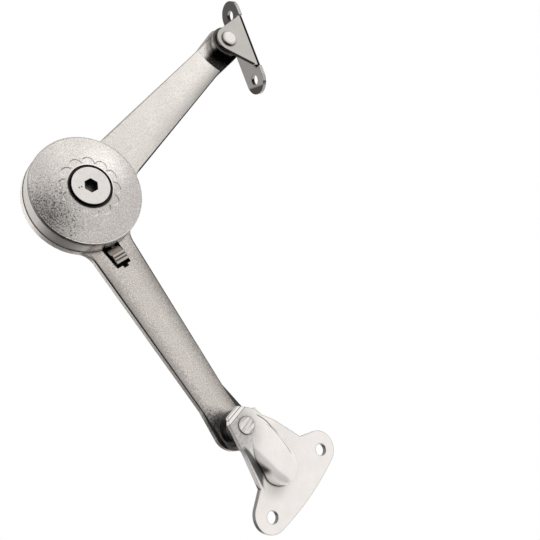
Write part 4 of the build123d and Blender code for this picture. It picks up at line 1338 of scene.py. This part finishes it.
@dataclass
class Studio:
    """Floor, backdrop, light and camera.

    Attributes:
        middle: the place that the lamps are turned to.
        floor_height: height of the floor, in metres.
        floor_size: its edge.
        paper: its colour.
        backdrop: colour of the backdrop, as the camera sees it.
        room: colour of the light that it gives.
        room_in_metal: its colour in metal.
        flag: the dark flag that metal shows.
        lamps: the soft lights.
        camera_place: where the camera stands, in metres.
        camera_right: the way to its right.
        camera_back: the way that it looks away from.
        lens: its focal length, in millimetres.
        sensor: width of its sensor, in millimetres.
        nearest: distance from which it sees, in metres.
    """

    middle: Point = (-0.04, 0.0, 0.09)
    floor_height: float = -0.14
    floor_size: float = 12.0
    paper: Colour = grey(0.85)
    backdrop: Colour = grey(1.0)
    room: Colour = tint(1.0, 0.99, 0.98)
    room_in_metal: Colour = tint(1.0, 0.985, 0.965)
    flag: Flag = Flag((-0.25, 0.25, -0.93), core=47.0, edge=68.0, level=0.06)
    lamps: tuple[Lamp, ...] = (
        Lamp("key from the upper right", (0.45, -0.55, 0.75), size=0.5, power=0.3),
        Lamp("front fill", (-0.35, -0.9, 0.25), size=0.7, power=0.2),
    )
    camera_place: Point = (-0.1510, -0.2398, 0.0098)
    camera_right: Point = (0.851, -0.504, -0.149)
    camera_back: Point = (-0.526, -0.816, -0.241)
    lens: float = 50.0
    sensor: float = 36.0
    nearest: float = 0.01

    def by_ray(self, sheet: NodeSheet, plain: bpy.types.Node, seen: bpy.types.Node,
               mirrored: bpy.types.Node) -> Socket:
        """Shows one shader to the camera, one in metal or glass and one to all other light.

        Args:
            sheet: writer of the nodes.
            plain: the shader for other light.
            seen: the shader that the camera sees.
            mirrored: the shader that metal and glass show.

        Returns:
            The shader socket.
        """
        path = sheet.add("ShaderNodeLightPath").outputs
        turned = sheet.math("MAXIMUM", path["Is Glossy Ray"], path["Is Transmission Ray"])
        return sheet.choose(turned, sheet.choose(path["Is Camera Ray"], plain, seen), mirrored)

    def floor(self) -> None:
        """Adds the pale floor, white to the camera; in metal the backdrop shows through it."""
        bpy.ops.mesh.primitive_plane_add(size=self.floor_size, location=(0.0, 0.0, self.floor_height))
        plane = bpy.context.object
        plane.name = "floor"
        material = bpy.data.materials.new("floor paper")
        material.use_nodes = True
        sheet = NodeSheet(material.node_tree)
        output = sheet.add("ShaderNodeOutputMaterial")
        paper = sheet.add("ShaderNodeBsdfDiffuse")
        paper.inputs["Color"].default_value = self.paper
        white = sheet.add("ShaderNodeEmission")
        white.inputs["Color"].default_value = self.backdrop
        clear = sheet.add("ShaderNodeBsdfTransparent")
        sheet.feed(output.inputs["Surface"], self.by_ray(sheet, paper, white, clear))
        plane.data.materials.append(material)

    def world(self) -> None:
        """Writes the white backdrop; metal also shows the dark flag that stands before it."""
        world = bpy.data.worlds.new("studio")
        bpy.context.scene.world = world
        world.use_nodes = True
        sheet = NodeSheet(world.node_tree)
        output = sheet.add("ShaderNodeOutputWorld")
        toward = sheet.add("ShaderNodeTexCoord").outputs["Generated"]
        flagged = sheet.shaded(self.room_in_metal, self.flag.shade(sheet, toward))
        shown = []
        for colour in (self.room, self.backdrop, flagged):
            shown.append(sheet.add("ShaderNodeBackground"))
            sheet.feed(shown[-1].inputs["Color"], colour)
        sheet.feed(output.inputs["Surface"], self.by_ray(sheet, *shown))

    def camera(self) -> None:
        """Adds the camera, which looks up at the stay from its lower left."""
        data = bpy.data.cameras.new("camera")
        data.lens = self.lens
        data.sensor_width = self.sensor
        data.clip_start = self.nearest
        camera = bpy.data.objects.new("camera", data)
        bpy.context.scene.collection.objects.link(camera)
        back = Vector(self.camera_back).normalized()
        up = back.cross(Vector(self.camera_right)).normalized()
        right = up.cross(back).normalized()
        turn = Matrix((right, up, back)).transposed().to_4x4()
        camera.matrix_world = Matrix.Translation(self.camera_place) @ turn
        bpy.context.scene.camera = camera

    def build(self) -> None:
        """Builds the whole studio."""
        self.floor()
        self.world()
        for lamp in self.lamps:
            lamp.hang(self.middle)
        self.camera()
        bpy.context.scene.view_settings.view_transform = "Standard"


def main() -> None:
    """Dresses the lid stay and builds the studio."""
    logging.basicConfig(level=logging.INFO, format="%(message)s")
    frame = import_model()
    bpy.ops.object.select_all(action="DESELECT")
    nodes = frame["nodes"]
    for part in (ElbowHead(), Arms(), CabinetEnd(), LidEnd()):
        part.dress(nodes)
    Studio().build()


if __name__ == "__main__":
    main()
